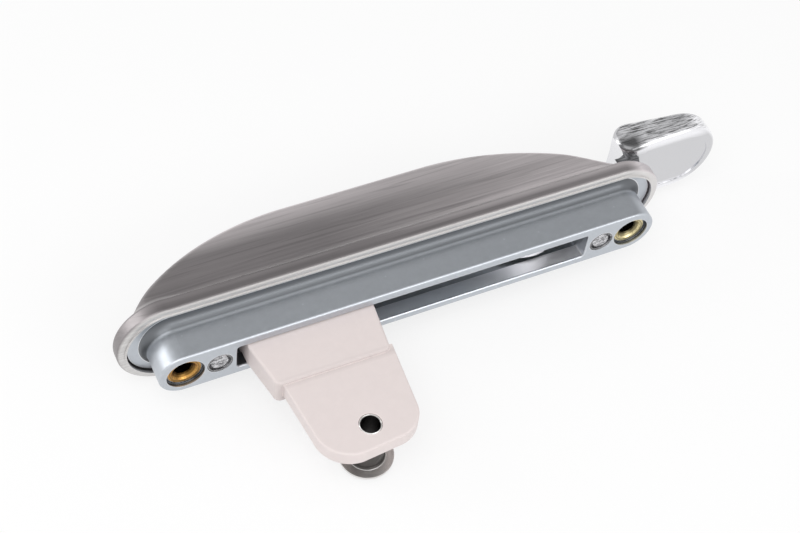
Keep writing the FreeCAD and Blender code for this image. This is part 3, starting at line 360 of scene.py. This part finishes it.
def new_group(name, inputs, outputs):
    """Group of float sockets: the inputs come with their defaults."""
    group = bpy.data.node_groups.new(name, "ShaderNodeTree")
    kind = "NodeSocketFloat"
    for label, default in inputs.items():
        socket = group.interface.new_socket(label, in_out="INPUT", socket_type=kind)
        socket.default_value = default
    for label in outputs:
        group.interface.new_socket(label, in_out="OUTPUT", socket_type=kind)
    entry = group.nodes.new("NodeGroupInput")
    leave = group.nodes.new("NodeGroupOutput")
    return group, entry.outputs, leave.inputs


def brushed_streaks_group():
    """Scratches along X: Fine is the grain, Broad the slow change, Scratch the few deep ones."""
    group, entry, leave = new_group(
        "Brushed streaks", {"Along": 30.0, "Across": 1800.0}, ("Fine", "Broad", "Scratch"))
    place = own_place(group)
    across = maths(group, "ADD", place[1], product(group, place[2], GRAIN_TILT))
    x = product(group, place[0], entry["Along"])
    y = product(group, across, entry["Across"])
    z = product(group, place[2], GRAIN_DEPTH)
    point = add_node(group, "ShaderNodeCombineXYZ", {0: x, 1: y, 2: z}).outputs[0]
    slow = vector_maths(group, "MULTIPLY", point, BROAD_STRETCH).outputs[0]
    deep = vector_maths(group, "MULTIPLY", point, SCRATCH_STRETCH).outputs[0]
    fine = noise(group, point, scale=1.0, detail=3.0, roughness=0.65)
    broad = noise(group, slow, scale=1.0, detail=2.0)
    scratch = noise(group, deep, scale=1.0, detail=1.0, roughness=0.4)
    feed(group, leave["Fine"], ramp(group, fine, *NOISE_SPAN))
    feed(group, leave["Broad"], ramp(group, broad, *NOISE_SPAN))
    feed(group, leave["Scratch"], ramp(group, scratch, *SCRATCH_SPAN))
    return group


def edge_wear_and_sheen_group():
    """White along rounded edges, from a rounded normal against the true one: edges rubbed bright, and
    on the slider a painted highlight.
    """
    group, entry, leave = new_group("Edge wear and sheen", {"Radius": 0.0004, "Strength": 1.0}, ("Wear",))
    plain = add_node(group, "ShaderNodeNewGeometry").outputs["Normal"]
    rounded = add_node(group, "ShaderNodeBevel", {"Radius": entry["Radius"]}, samples=4).outputs[0]
    likeness = vector_maths(group, "DOT_PRODUCT", plain, rounded).outputs["Value"]
    patch = noise(group, object_place(group), PATCH_SCALE, detail=3.0)
    rubbed = product(group, inverse(group, likeness), ramp(group, patch, *PATCH_SPAN))
    gained = product(group, rubbed, product(group, entry["Strength"], WEAR_GAIN))
    feed(group, leave["Wear"], between(group, gained, 0.0, 1.0))
    return group


def speckle_group():
    """Cast or moulded grain: Grain is soft mottling, Pits are small spots."""
    group, entry, leave = new_group("Cast speckle", {"Size": 900.0, "Spots": 300.0}, ("Grain", "Pits"))
    place = object_place(group)
    cell = add_node(group, "ShaderNodeTexVoronoi", {"Vector": place, "Scale": entry["Spots"]})
    feed(group, leave["Grain"], noise(group, place, entry["Size"], detail=4.0, roughness=0.6))
    feed(group, leave["Pits"], ramp(group, cell.outputs["Distance"], *PIT_SPAN, start=1.0, end=0.0))
    return group


GROUP_MAKERS = {"streaks": brushed_streaks_group, "wear": edge_wear_and_sheen_group, "speckle": speckle_group}
GROUPS = {}


def place_group(tree, name, **values):
    """Outputs of a shared group in this tree; the group is made at its first use."""
    if name not in GROUPS:
        GROUPS[name] = GROUP_MAKERS[name]()
    return add_node(tree, "ShaderNodeGroup", values, node_tree=GROUPS[name]).outputs


# Materials

def new_material(name):
    material = bpy.data.materials.new(name)
    material.use_nodes = True
    tree = material.node_tree
    return material, tree, find_node(tree, "BSDF_PRINCIPLED")


def finish_shader(tree, shader, tone, normal, roughness, metallic):
    feed(tree, shader.inputs["Base Color"], tone)
    feed(tree, shader.inputs["Normal"], normal)
    feed(tree, shader.inputs["Roughness"], roughness)
    feed(tree, shader.inputs["Metallic"], metallic)


def mottled(tree, colour, speckle, low, high):
    """Tone between two shades of a colour, by the speckle's grain."""
    return blend_colours(tree, speckle["Grain"], rgba(colour, low), rgba(colour, high))


def edge_wear_and_sheen(tree, tone, radius, strength, colour):
    """The tone with its rounded edges in a brighter colour: real wear, and on the slider a painted
    highlight.
    """
    wear = place_group(tree, "wear", Radius=radius, Strength=strength)
    return blend_colours(tree, wear["Wear"], tone, colour)


def brushed_cover_material(finish):
    """Brushed arch with painted shade on its low part and painted highlights at its ends, above a rim
    with painted shade, a painted highlight line and a painted highlight on the lip.
    """
    material, tree, shader = new_material("Cover brushed nickel")
    cover = finish.cover
    streaks = place_group(tree, "streaks", Along=26.0, Across=1900.0)
    fine = streaks["Fine"]
    tone = blend_colours(tree, streaks["Broad"], rgba(cover, 0.78), rgba(cover, 1.14))
    tone = tinted(tree, tone, fine, rgba(cover, 1.5), amount=0.5)
    tone = tinted(tree, tone, streaks["Scratch"], rgba(cover, 0.45), amount=0.35)

    place = own_place(tree)
    # Painted shade on the arch's low part, strongest at the left; painted highlights on its upper left
    # and at its right end.
    low = ramp(tree, place[1], *ARCH_LOW)
    arch_shade = product(tree, ramp(tree, place[0], *ARCH_SHADE_ALONG, start=0.66, end=0.05), low)
    tone = blend_colours(tree, arch_shade, tone, rgba(cover, 0.3))
    right_highlight = ramp(tree, place[0], *RIGHT_END_HIGHLIGHT, end=0.5)
    left_highlight = product(tree, ramp(tree, place[0], *UPPER_LEFT_HIGHLIGHT, end=0.5), inverse(tree, low))
    pale = maths(tree, "ADD", right_highlight, left_highlight)
    tone = blend_colours(tree, pale, tone, rgba(cover, 1.6))

    # Painted shade on the rim, which dims the highlight it catches, deeper on its lower part; it fades
    # out at the ends.
    ends = ramp(tree, absolute(tree, place[0]), *RIM_ENDS)
    rim_shade = product(tree, ramp(tree, place[1], *RIM_SHADE_BAND), inverse(tree, ends))
    tone = tinted(tree, tone, rim_shade, rgba(cover, 0.4), amount=0.3)
    under_shade = product(tree, ramp(tree, place[1], *RIM_UNDER_SHADE), rim_shade)
    tone = tinted(tree, tone, under_shade, rgba(cover, 0.3), amount=0.65)
    # Painted highlight along the line between the rim and the arch.
    from_line = absolute(tree, maths(tree, "SUBTRACT", place[1], RIM_LINE))
    tone = tinted(tree, tone, ramp(tree, from_line, *HIGHLIGHT_LINE_WIDTH), LINE_HIGHLIGHT, amount=0.5)
    # Painted highlight on the rim's lip, broken up by the grain.
    lip_highlight_mask = product(tree, ramp(tree, place[1], *RIM_LIP), between(tree, fine, 0.6, 1.0))
    tone = blend_colours(tree, lip_highlight_mask, tone, LIP_HIGHLIGHT)
    tone = edge_wear_and_sheen(tree, tone, radius=0.0005, strength=0.8, colour=COVER_WEAR)

    rough = between(tree, fine, 0.34, 0.46)
    rough = maths(tree, "ADD", rough, product(tree, rim_shade, 0.14))
    relief = bump(tree, fine, strength=0.25, distance=0.00003)
    finish_shader(tree, shader, tone, relief, roughness=rough, metallic=1.0)
    return material


def casting_material(finish, flared=False):
    """The casting's finish; the flared version has painted shade in its hollow and a painted highlight
    on its crest.
    """
    material, tree, shader = new_material("Base flare" if flared else "Base satin casting")
    casting = finish.casting
    speckle = place_group(tree, "speckle", Size=700.0, Spots=240.0)
    tone = mottled(tree, casting, speckle, low=0.9, high=1.12)
    tone = tinted(tree, tone, speckle["Pits"], rgba(casting, 1.6), amount=0.35)

    place = own_place(tree)
    # Painted shade in the counterbores round the inserts and the staked rivets.
    sunk = ramp(tree, place[1], *BELOW_FACE)
    for reach, edge in ((INSERT_REACH, INSERT_SEAT_SHADE), (STUD_REACH, STUD_SEAT_SHADE)):
        seat_shade = product(tree, ramp(tree, off_pair(tree, place, reach), *edge), sunk)
        tone = tinted(tree, tone, seat_shade, rgba(casting, 0.08), amount=0.9)

    facing = absolute(tree, own_facing(tree)[2])
    # Painted shade: the faces that turn to plus or minus Z are darker.
    tone = tinted(tree, tone, ramp(tree, facing, *SHADED_SIDE_FACING), rgba(casting, 0.5), amount=0.45)
    across = absolute(tree, place[2])
    slot = product(tree, ramp(tree, across, *SLOT_ACROSS),
                   ramp(tree, absolute(tree, place[0]), *SLOT_ALONG),
                   ramp(tree, place[1], *SLOT_MOUTH),
                   ramp(tree, facing, *SLOT_FACING))
    # Painted highlight inside the slot, growing lighter towards its right end.
    slot_highlight_tone = blend_colours(tree, ramp(tree, place[0], *SLOT_HIGHLIGHT_ALONG), rgba(casting, 1.4), SLOT_HIGHLIGHT)
    tone = blend_colours(tree, slot, tone, slot_highlight_tone)
    dark_end = product(tree, slot, ramp(tree, place[0], *SLOT_SHADE))
    tone = tinted(tree, tone, dark_end, rgba(casting, 0.08), amount=0.93)
    # Painted shade on the flange along the long sides, where it lies under the rim's lip.
    plate = product(tree, ramp(tree, place[1], *PLATE_FRONT), ramp(tree, across, *PLATE_ACROSS))
    tone = tinted(tree, tone, plate, rgba(casting, 0.5), amount=0.5)
    if flared:
        # Painted shade in the flare's hollow, which dims the highlight it catches, and a painted
        # highlight along its crest.
        hollow = product(tree, ramp(tree, place[1], *HOLLOW_START), ramp(tree, place[1], *HOLLOW_END))
        tone = tinted(tree, tone, hollow, rgba(casting, 0.15), amount=0.82)
        tone = tinted(tree, tone, ramp(tree, place[1], *FLARE_CREST), CREST_HIGHLIGHT, amount=0.8)
    tone = edge_wear_and_sheen(tree, tone, radius=0.0006, strength=1.0, colour=CASTING_WEAR)

    rough = ramp(tree, speckle["Grain"], *NOISE_SPAN, start=0.36, end=0.44)
    relief = bump(tree, speckle["Grain"], strength=0.2, distance=0.00004)
    finish_shader(tree, shader, tone, relief, roughness=rough, metallic=0.9)
    return material


def chrome_material(finish):
    """Bright plating, with dark drawn lines on the sides, painted light and shade by facing, a painted
    highlight along the back face's edges and a painted dark reflection on the neck.
    """
    material, tree, shader = new_material("Lever bright plating")
    chrome = finish.chrome
    streaks = place_group(tree, "streaks", Along=210.0, Across=3000.0)
    fine = streaks["Fine"]
    facing = own_facing(tree)
    side = ramp(tree, absolute(tree, facing[2]), *HEAD_SIDE_FACING)
    back = ramp(tree, facing[1], *HEAD_BACK_FACING)
    outside = ramp(tree, facing[1], *OUTSIDE_FACING)
    # Painted light and shade by facing: roundings that turn towards minus Y are painted light, the back
    # face a little darker and faces towards plus Y darker still.
    plain = blend_colours(tree, outside, rgba(chrome, 1.3), rgba(chrome, 0.8))
    plain = blend_colours(tree, back, plain, rgba(chrome, 0.89))
    drawn = ramp(tree, fine, *HEAD_LINE_SPAN)
    lines = blend_colours(tree, drawn, rgba(chrome, 0.12), rgba(chrome, 1.36))
    cloud = ramp(tree, streaks["Broad"], *HEAD_CLOUD_SPAN, start=0.4, end=0.0)
    lines = blend_colours(tree, cloud, lines, rgba(chrome, 0.4))
    tone = blend_colours(tree, side, plain, lines)

    place = own_place(tree)
    # Painted highlight: a lighter band along the upper and lower edges of the back face.
    border_highlight = product(tree, ramp(tree, absolute(tree, place[2]), *HEAD_BORDER_HIGHLIGHT), back)
    tone = blend_colours(tree, border_highlight, tone, rgba(chrome, 1.3))
    # Painted dark reflection on the top of the neck.
    neck_reflection = product(tree, ramp(tree, place[0], *NECK_ALONG), ramp(tree, place[1], *NECK_DEPTH),
                   ramp(tree, facing[2], *NECK_FACING))
    tone = tinted(tree, tone, neck_reflection, rgba(chrome, 0.1), amount=0.9)

    rough = product(tree, side, between(tree, fine, 0.28, 0.12))
    rough = maths(tree, "ADD", rough, 0.16)
    relief = bump(tree, product(tree, fine, side), strength=0.35, distance=0.00005)
    finish_shader(tree, shader, tone, relief, roughness=rough, metallic=1.0)
    return material


def slider_material(finish):
    """Moulded plastic with a soft shade along the step."""
    material, tree, shader = new_material("Slider moulded plastic")
    slider = finish.slider
    speckle = place_group(tree, "speckle", Size=420.0, Spots=120.0)
    tone = mottled(tree, slider, speckle, low=0.96, high=1.03)
    from_step = absolute(tree, maths(tree, "ADD", own_place(tree)[1], STEP_DOWN))
    tone = tinted(tree, tone, ramp(tree, from_step, *STEP_SHADE), rgba(slider, 0.6), amount=0.36)
    # Painted highlight on the slider's rounded edges.
    tone = edge_wear_and_sheen(tree, tone, radius=0.0007, strength=1.2, colour=rgba(slider, 1.18))
    relief = bump(tree, speckle["Grain"], strength=0.12, distance=0.00003)
    finish_shader(tree, shader, tone, relief, roughness=0.42, metallic=0.0)
    shader.inputs["Specular IOR Level"].default_value = 0.4
    return material


def turned_material(name, colour, roughness):
    material, tree, shader = new_material(name)
    speckle = place_group(tree, "speckle", Size=1500.0, Spots=500.0)
    tone = mottled(tree, colour, speckle, low=0.75, high=1.15)
    tone = edge_wear_and_sheen(tree, tone, radius=0.0003, strength=0.7, colour=rgba(colour, 1.4))
    relief = bump(tree, speckle["Grain"], strength=0.15, distance=0.00003)
    finish_shader(tree, shader, tone, relief, roughness, metallic=1.0)
    return material


def insert_material(name, colour):
    """Brass insert: a dark bore and lead painted as shade, then lighter and darker rings of brass."""
    material, tree, shader = new_material(name)
    speckle = place_group(tree, "speckle", Size=1800.0, Spots=900.0)
    reach = off_pair(tree, own_place(tree), INSERT_REACH)
    # The dark bore is painted shade; the rings outside it are lighter and darker brass.
    tone = rgba(colour, INSERT_BORE_SHADE)
    for edge, level in INSERT_RINGS:
        ring = ramp(tree, reach, edge * MM, (edge + INSERT_RING_BLUR) * MM)
        tone = blend_colours(tree, ring, tone, rgba(colour, level))
    stain = ramp(tree, speckle["Grain"], *STAIN_SPAN)
    tone = tinted(tree, tone, stain, rgba(colour, 0.35), amount=0.45)
    relief = bump(tree, speckle["Grain"], strength=0.3, distance=0.00005)
    finish_shader(tree, shader, tone, relief, roughness=0.3, metallic=1.0)
    return material


def rivet_material():
    """Peened stud: hammered face with dark scratches and a dark ring at its edge."""
    material, tree, shader = new_material("Staked rivets")
    fine = place_group(tree, "streaks", Along=700.0, Across=1400.0)["Fine"]
    tone = blend_colours(tree, ramp(tree, fine, *HAMMER_SPAN), STUD_DARK, STUD_PALE)
    edge = ramp(tree, off_pair(tree, own_place(tree), STUD_REACH), *STUD_EDGE)
    tone = tinted(tree, tone, edge, STUD_RING, amount=0.6)
    relief = bump(tree, fine, strength=0.9, distance=0.0002)
    finish_shader(tree, shader, tone, relief, roughness=0.25, metallic=1.0)
    return material


def ringed_material(name, edge, bright, roughness):
    """Turned steel round the tip's axis: painted shade inside an edge in millimetres, painted highlight
    outside.
    """
    material, tree, shader = new_material(name)
    speckle = place_group(tree, "speckle", Size=1500.0, Spots=500.0)
    place = own_place(tree)
    reach = off_axis(tree, maths(tree, "SUBTRACT", place[0], TIP_AXIS[0]),
                     maths(tree, "SUBTRACT", place[1], TIP_AXIS[1]))
    # Painted shade on the roller's core and in the rivet's bore; painted highlight outside them.
    ring = ramp(tree, reach, edge * MM, (edge + TURNED_RING_BLUR) * MM)
    tone = blend_colours(tree, ring, rgba(BORE_DARK), rgba(bright))
    point = add_node(tree, "ShaderNodeCombineXYZ", {0: reach}).outputs[0]
    wave = noise(tree, point, WAVE_SCALE, detail=2.0)
    tone = tinted(tree, tone, ramp(tree, wave, *WAVE_SPAN), rgba(BORE_DARK), amount=0.2)
    tone = tinted(tree, tone, speckle["Grain"], TURNED_DIRT, amount=0.15)
    relief = bump(tree, wave, strength=0.2, distance=0.00003)
    finish_shader(tree, shader, tone, relief, roughness, metallic=1.0)
    return material


def dress(material, *names):
    for name in names:
        for slot in NODES[name].material_slots:
            slot.material = material


# Meshes

def smooth_step(low, high, value):
    t = min(max((value - low) / (high - low), 0.0), 1.0)
    return t * t * (3.0 - 2.0 * t)


def link_mesh(name, vertices, faces):
    """New piece with smooth shading, flat faces kept flat."""
    data = bpy.data.meshes.new(name)
    data.from_pydata(vertices, [], faces)
    data.shade_smooth()
    data.set_sharp_from_angle(angle=math.radians(SMOOTH_ANGLE))
    piece = bpy.data.objects.new(name, data)
    bpy.context.scene.collection.objects.link(piece)
    weighted = piece.modifiers.new("Weighted normals", "WEIGHTED_NORMAL")
    weighted.keep_sharp = True
    return piece


def drawn_in_cover(shape):
    """The cover with its rim drawn in along both long sides, so that its ends are oval."""
    mesh = bmesh.new()
    mesh.from_mesh(NODES["housing_cover"].data)
    bmesh.ops.remove_doubles(mesh, verts=mesh.verts, dist=MERGE_REACH)
    for cut in range(RIM_CUTS):
        level = shape.rim_top + (shape.blend_top - shape.rim_top) * cut / RIM_CUTS
        bmesh.ops.bisect_plane(mesh, geom=mesh.verts[:] + mesh.edges[:] + mesh.faces[:],
                               plane_co=(0.0, level, 0.0), plane_no=(0.0, 1.0, 0.0))
    vertices = []
    for vertex in mesh.verts:
        x, y, z = vertex.co
        pull = shape.rim_pull * smooth_step(*PULL_ACROSS, abs(z))
        pull *= 1.0 - smooth_step(shape.rim_top, shape.blend_top, y)
        lost = 1.0 if x < 0.0 else 1.0 - shape.right_keep
        pull *= 1.0 - lost * smooth_step(shape.end_start, shape.end_stop, abs(x))
        vertices.append((x, y, z - math.copysign(pull, z)))
    mesh.verts.index_update()
    faces = [[vertex.index for vertex in face.verts] for face in mesh.faces]
    mesh.free()
    return link_mesh("Cover_drawn_rim", vertices, faces)


def block_flare(shape):
    """Hollow rounding that carries the block's side out to the flange, all round."""
    radius = shape.flare_radius
    path = []
    for side in (1.0, -1.0):
        for turn in range(FLARE_TURNS + 1):
            angle = math.pi * (turn / FLARE_TURNS - 0.5)
            path.append((side * INSERT_REACH, side * math.cos(angle), side * math.sin(angle)))
    vertices = []
    for ring in range(FLARE_RINGS + 1):
        swing = 0.5 * math.pi * ring / FLARE_RINGS
        spread = 1.0 - math.cos(swing)
        out = BLOCK_HALF + shape.flare_end * spread
        reach = BLOCK_HALF + radius * spread
        depth = FLANGE_FRONT - radius + radius * math.sin(swing)
        for mid, along, across in path:
            vertices.append((mid + out * along, depth - FLARE_PROUD, reach * across))
    count = len(path)
    faces = []
    for ring in range(FLARE_RINGS):
        for k in range(count):
            a = ring * count + k
            b = ring * count + (k + 1) % count
            faces.append((a, a + count, b + count, b))
    return link_mesh("Block_flare", vertices, faces)


# Studio

def aim(thing, target):
    away = Vector(thing.location) - Vector(target)
    thing.rotation_euler = away.to_track_quat("Z", "Y").to_euler()


def soft_box(name, power):
    place, width, height = SOFT_BOXES[name]
    lamp = bpy.data.lights.new(name, "AREA")
    lamp.shape = "RECTANGLE"
    lamp.size = width
    lamp.size_y = height
    lamp.energy = power
    box = bpy.data.objects.new(name, lamp)
    box.location = place
    aim(box, AIM_PLACE)
    bpy.context.scene.collection.objects.link(box)


def seen_rays(tree):
    """One for camera, glossy and transmission rays, zero for diffuse rays."""
    rays = add_node(tree, "ShaderNodeLightPath").outputs
    seen = maths(tree, "MAXIMUM", rays["Is Camera Ray"], rays["Is Glossy Ray"])
    return maths(tree, "MAXIMUM", seen, rays["Is Transmission Ray"])


def new_plane(name, size, place):
    bpy.ops.mesh.primitive_plane_add(size=size, location=place)
    plane = bpy.context.active_object
    plane.name = name
    return plane


def pale_floor(colour, lift):
    """Floor that takes shadows and is lifted towards plain white where it is seen."""
    floor = new_plane("Studio_floor", FLOOR_SIZE, (0.0, 0.0, CAD_BOX[0][2] - FLOOR_GAP))
    material, tree, shader = new_material("Floor pale")
    shader.inputs["Base Color"].default_value = rgba(colour)
    shader.inputs["Roughness"].default_value = 0.9
    shader.inputs["Specular IOR Level"].default_value = 0.0
    white = add_node(tree, "ShaderNodeEmission", {"Strength": 1.0})
    mixed = add_node(tree, "ShaderNodeMixShader", {
        0: product(tree, seen_rays(tree), lift), 1: shader.outputs[0], 2: white.outputs[0]})
    feed(tree, find_node(tree, "OUTPUT_MATERIAL").inputs[0], mixed.outputs[0])
    floor.data.materials.append(material)


def white_world(scene, level):
    """Surroundings that show as plain white and light the part at a level of their own."""
    world = bpy.data.worlds.new("Studio world")
    scene.world = world
    world.use_nodes = True
    tree = world.node_tree
    background = find_node(tree, "BACKGROUND")
    background.inputs["Color"].default_value = WHITE
    background.inputs["Strength"].default_value = level
    white = add_node(tree, "ShaderNodeBackground", {"Color": WHITE, "Strength": 1.0})
    mixed = add_node(tree, "ShaderNodeMixShader", {
        0: seen_rays(tree), 1: background.outputs[0], 2: white.outputs[0]})
    feed(tree, find_node(tree, "OUTPUT_WORLD").inputs[0], mixed.outputs[0])


def grey_card(level):
    """Large card above and behind the part: what its upper sides mirror."""
    card = new_plane("Studio_card", 1.0, CARD_PLACE)
    card.scale = CARD_SCALE
    aim(card, AIM_PLACE)
    material, tree, _ = new_material("Card grey")
    glow = add_node(tree, "ShaderNodeEmission", {"Strength": level})
    feed(tree, find_node(tree, "OUTPUT_MATERIAL").inputs[0], glow.outputs[0])
    card.data.materials.append(material)
    card.visible_camera = False


def photograph_camera(scene, focal_length):
    lens = bpy.data.cameras.new("Photograph camera")
    lens.lens = focal_length
    lens.sensor_width = SENSOR_WIDTH
    lens.clip_start = CLIP_START
    eye = bpy.data.objects.new("Photograph camera", lens)
    turn = Matrix((CAMERA_RIGHT, CAMERA_UP, CAMERA_BACK)).transposed().to_4x4()
    eye.matrix_world = Matrix.Translation(CAMERA_PLACE) @ turn
    scene.collection.objects.link(eye)
    scene.camera = eye


# Steps, panel and registration

class HANDLE_OT_cover(bpy.types.Operator):
    """Finish the housing cover"""
    bl_idname = "handle.cover"
    bl_label = "Cover"

    def execute(self, context):
        material = brushed_cover_material(context.scene.handle_finishes)
        dress(material, "housing_cover")
        cover = drawn_in_cover(context.scene.handle_shape)
        cover.data.materials.append(material)
        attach(cover, "housing")
        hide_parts("housing_cover")
        return {"FINISHED"}


class HANDLE_OT_casting(bpy.types.Operator):
    """Finish the base casting, its chassis and the staked rivets"""
    bl_idname = "handle.casting"
    bl_label = "Base casting"

    def execute(self, context):
        finish = context.scene.handle_finishes
        dress(casting_material(finish), "base_casting")
        flare = block_flare(context.scene.handle_shape)
        flare.data.materials.append(casting_material(finish, flared=True))
        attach(flare, "housing")
        dress(rivet_material(), "chassis_rivet_left", "chassis_rivet_right")
        dress(turned_material("Chassis zinc plate", ZINC_PLATE, roughness=0.4), "pivot_chassis")
        return {"FINISHED"}


class HANDLE_OT_inserts(bpy.types.Operator):
    """Finish the brass inserts"""
    bl_idname = "handle.inserts"
    bl_label = "Threaded inserts"

    def execute(self, context):
        finish = context.scene.handle_finishes
        dress(insert_material("Insert dark brass", finish.brass), "threaded_insert_left")
        dress(insert_material("Insert pale brass", finish.pale_brass), "threaded_insert_right")
        return {"FINISHED"}


class HANDLE_OT_lever(bpy.types.Operator):
    """Finish the lever and the crank's small parts"""
    bl_idname = "handle.lever"
    bl_label = "Lever"

    def execute(self, context):
        finish = context.scene.handle_finishes
        dress(chrome_material(finish), "lever")
        dress(turned_material("Pivot steel", finish.steel, roughness=0.3),
              "lever_pivot_pin", "friction_washer", "pivot_clip_upper", "pivot_clip_lower", "crank_pin")
        dress(turned_material("Bush brass", finish.brass, roughness=0.35),
              "crank_bush_upper", "crank_bush_lower")
        dress(turned_material("Washer plastic", BLACK_PLASTIC, roughness=0.5), "pivot_washer")
        return {"FINISHED"}


class HANDLE_OT_slider(bpy.types.Operator):
    """Finish the drive slider, its hollow rivet and the tie-bar roller"""
    bl_idname = "handle.slider"
    bl_label = "Drive slider"

    def execute(self, context):
        finish = context.scene.handle_finishes
        dress(slider_material(finish), "drive_slider")
        # Steel made lighter as a painted highlight for the roller and the tip's rivet.
        bright = tuple(STEEL_HIGHLIGHT_GAIN * part for part in finish.steel)
        dress(ringed_material("Roller steel", ROLLER_CORE, bright, roughness=0.36),
              "tie_bar_roller", "roller_washer")
        dress(ringed_material("Tip rivet steel", RIVET_BORE, bright, roughness=0.3), "tip_rivet")
        return {"FINISHED"}


class HANDLE_OT_studio(bpy.types.Operator):
    """Floor, surrounding light, soft boxes and the photograph's camera"""
    bl_idname = "handle.studio"
    bl_label = "Studio"

    def execute(self, context):
        scene = context.scene
        studio = scene.handle_studio
        scene.view_settings.view_transform = "Standard"
        pale_floor(scene.handle_finishes.floor, studio.floor_level)
        white_world(scene, studio.world_level)
        grey_card(studio.card_level)
        soft_box("Key soft box", studio.key_power)
        soft_box("Strip soft box", studio.strip_power)
        soft_box("Fill soft box", studio.fill_power)
        photograph_camera(scene, studio.lens)
        return {"FINISHED"}


STEPS = (HANDLE_OT_cover, HANDLE_OT_casting, HANDLE_OT_inserts, HANDLE_OT_lever,
         HANDLE_OT_slider, HANDLE_OT_studio)


class HANDLE_PT_panel(bpy.types.Panel):
    bl_idname = "HANDLE_PT_panel"
    bl_label = "Multi-point door handle"
    bl_space_type = "VIEW_3D"
    bl_region_type = "UI"
    bl_category = "Handle"

    def draw(self, context):
        scene = context.scene
        for group in (scene.handle_finishes, scene.handle_shape, scene.handle_studio):
            for key in group.__annotations__:
                self.layout.prop(group, key)
        for step in STEPS:
            self.layout.operator(step.bl_idname)


CLASSES = (HandleFinishes, HandleShape, HandleStudio) + STEPS + (HANDLE_PT_panel,)


def register():
    for item in CLASSES:
        bpy.utils.register_class(item)
    bpy.types.Scene.handle_finishes = bpy.props.PointerProperty(type=HandleFinishes)
    bpy.types.Scene.handle_shape = bpy.props.PointerProperty(type=HandleShape)
    bpy.types.Scene.handle_studio = bpy.props.PointerProperty(type=HandleStudio)


def unregister():
    del bpy.types.Scene.handle_studio
    del bpy.types.Scene.handle_shape
    del bpy.types.Scene.handle_finishes
    for item in reversed(CLASSES):
        bpy.utils.unregister_class(item)


def main():
    register()
    bpy.ops.handle.cover()
    bpy.ops.handle.casting()
    bpy.ops.handle.inserts()
    bpy.ops.handle.lever()
    bpy.ops.handle.slider()
    bpy.ops.handle.studio()


if __name__ == "__main__":
    main()
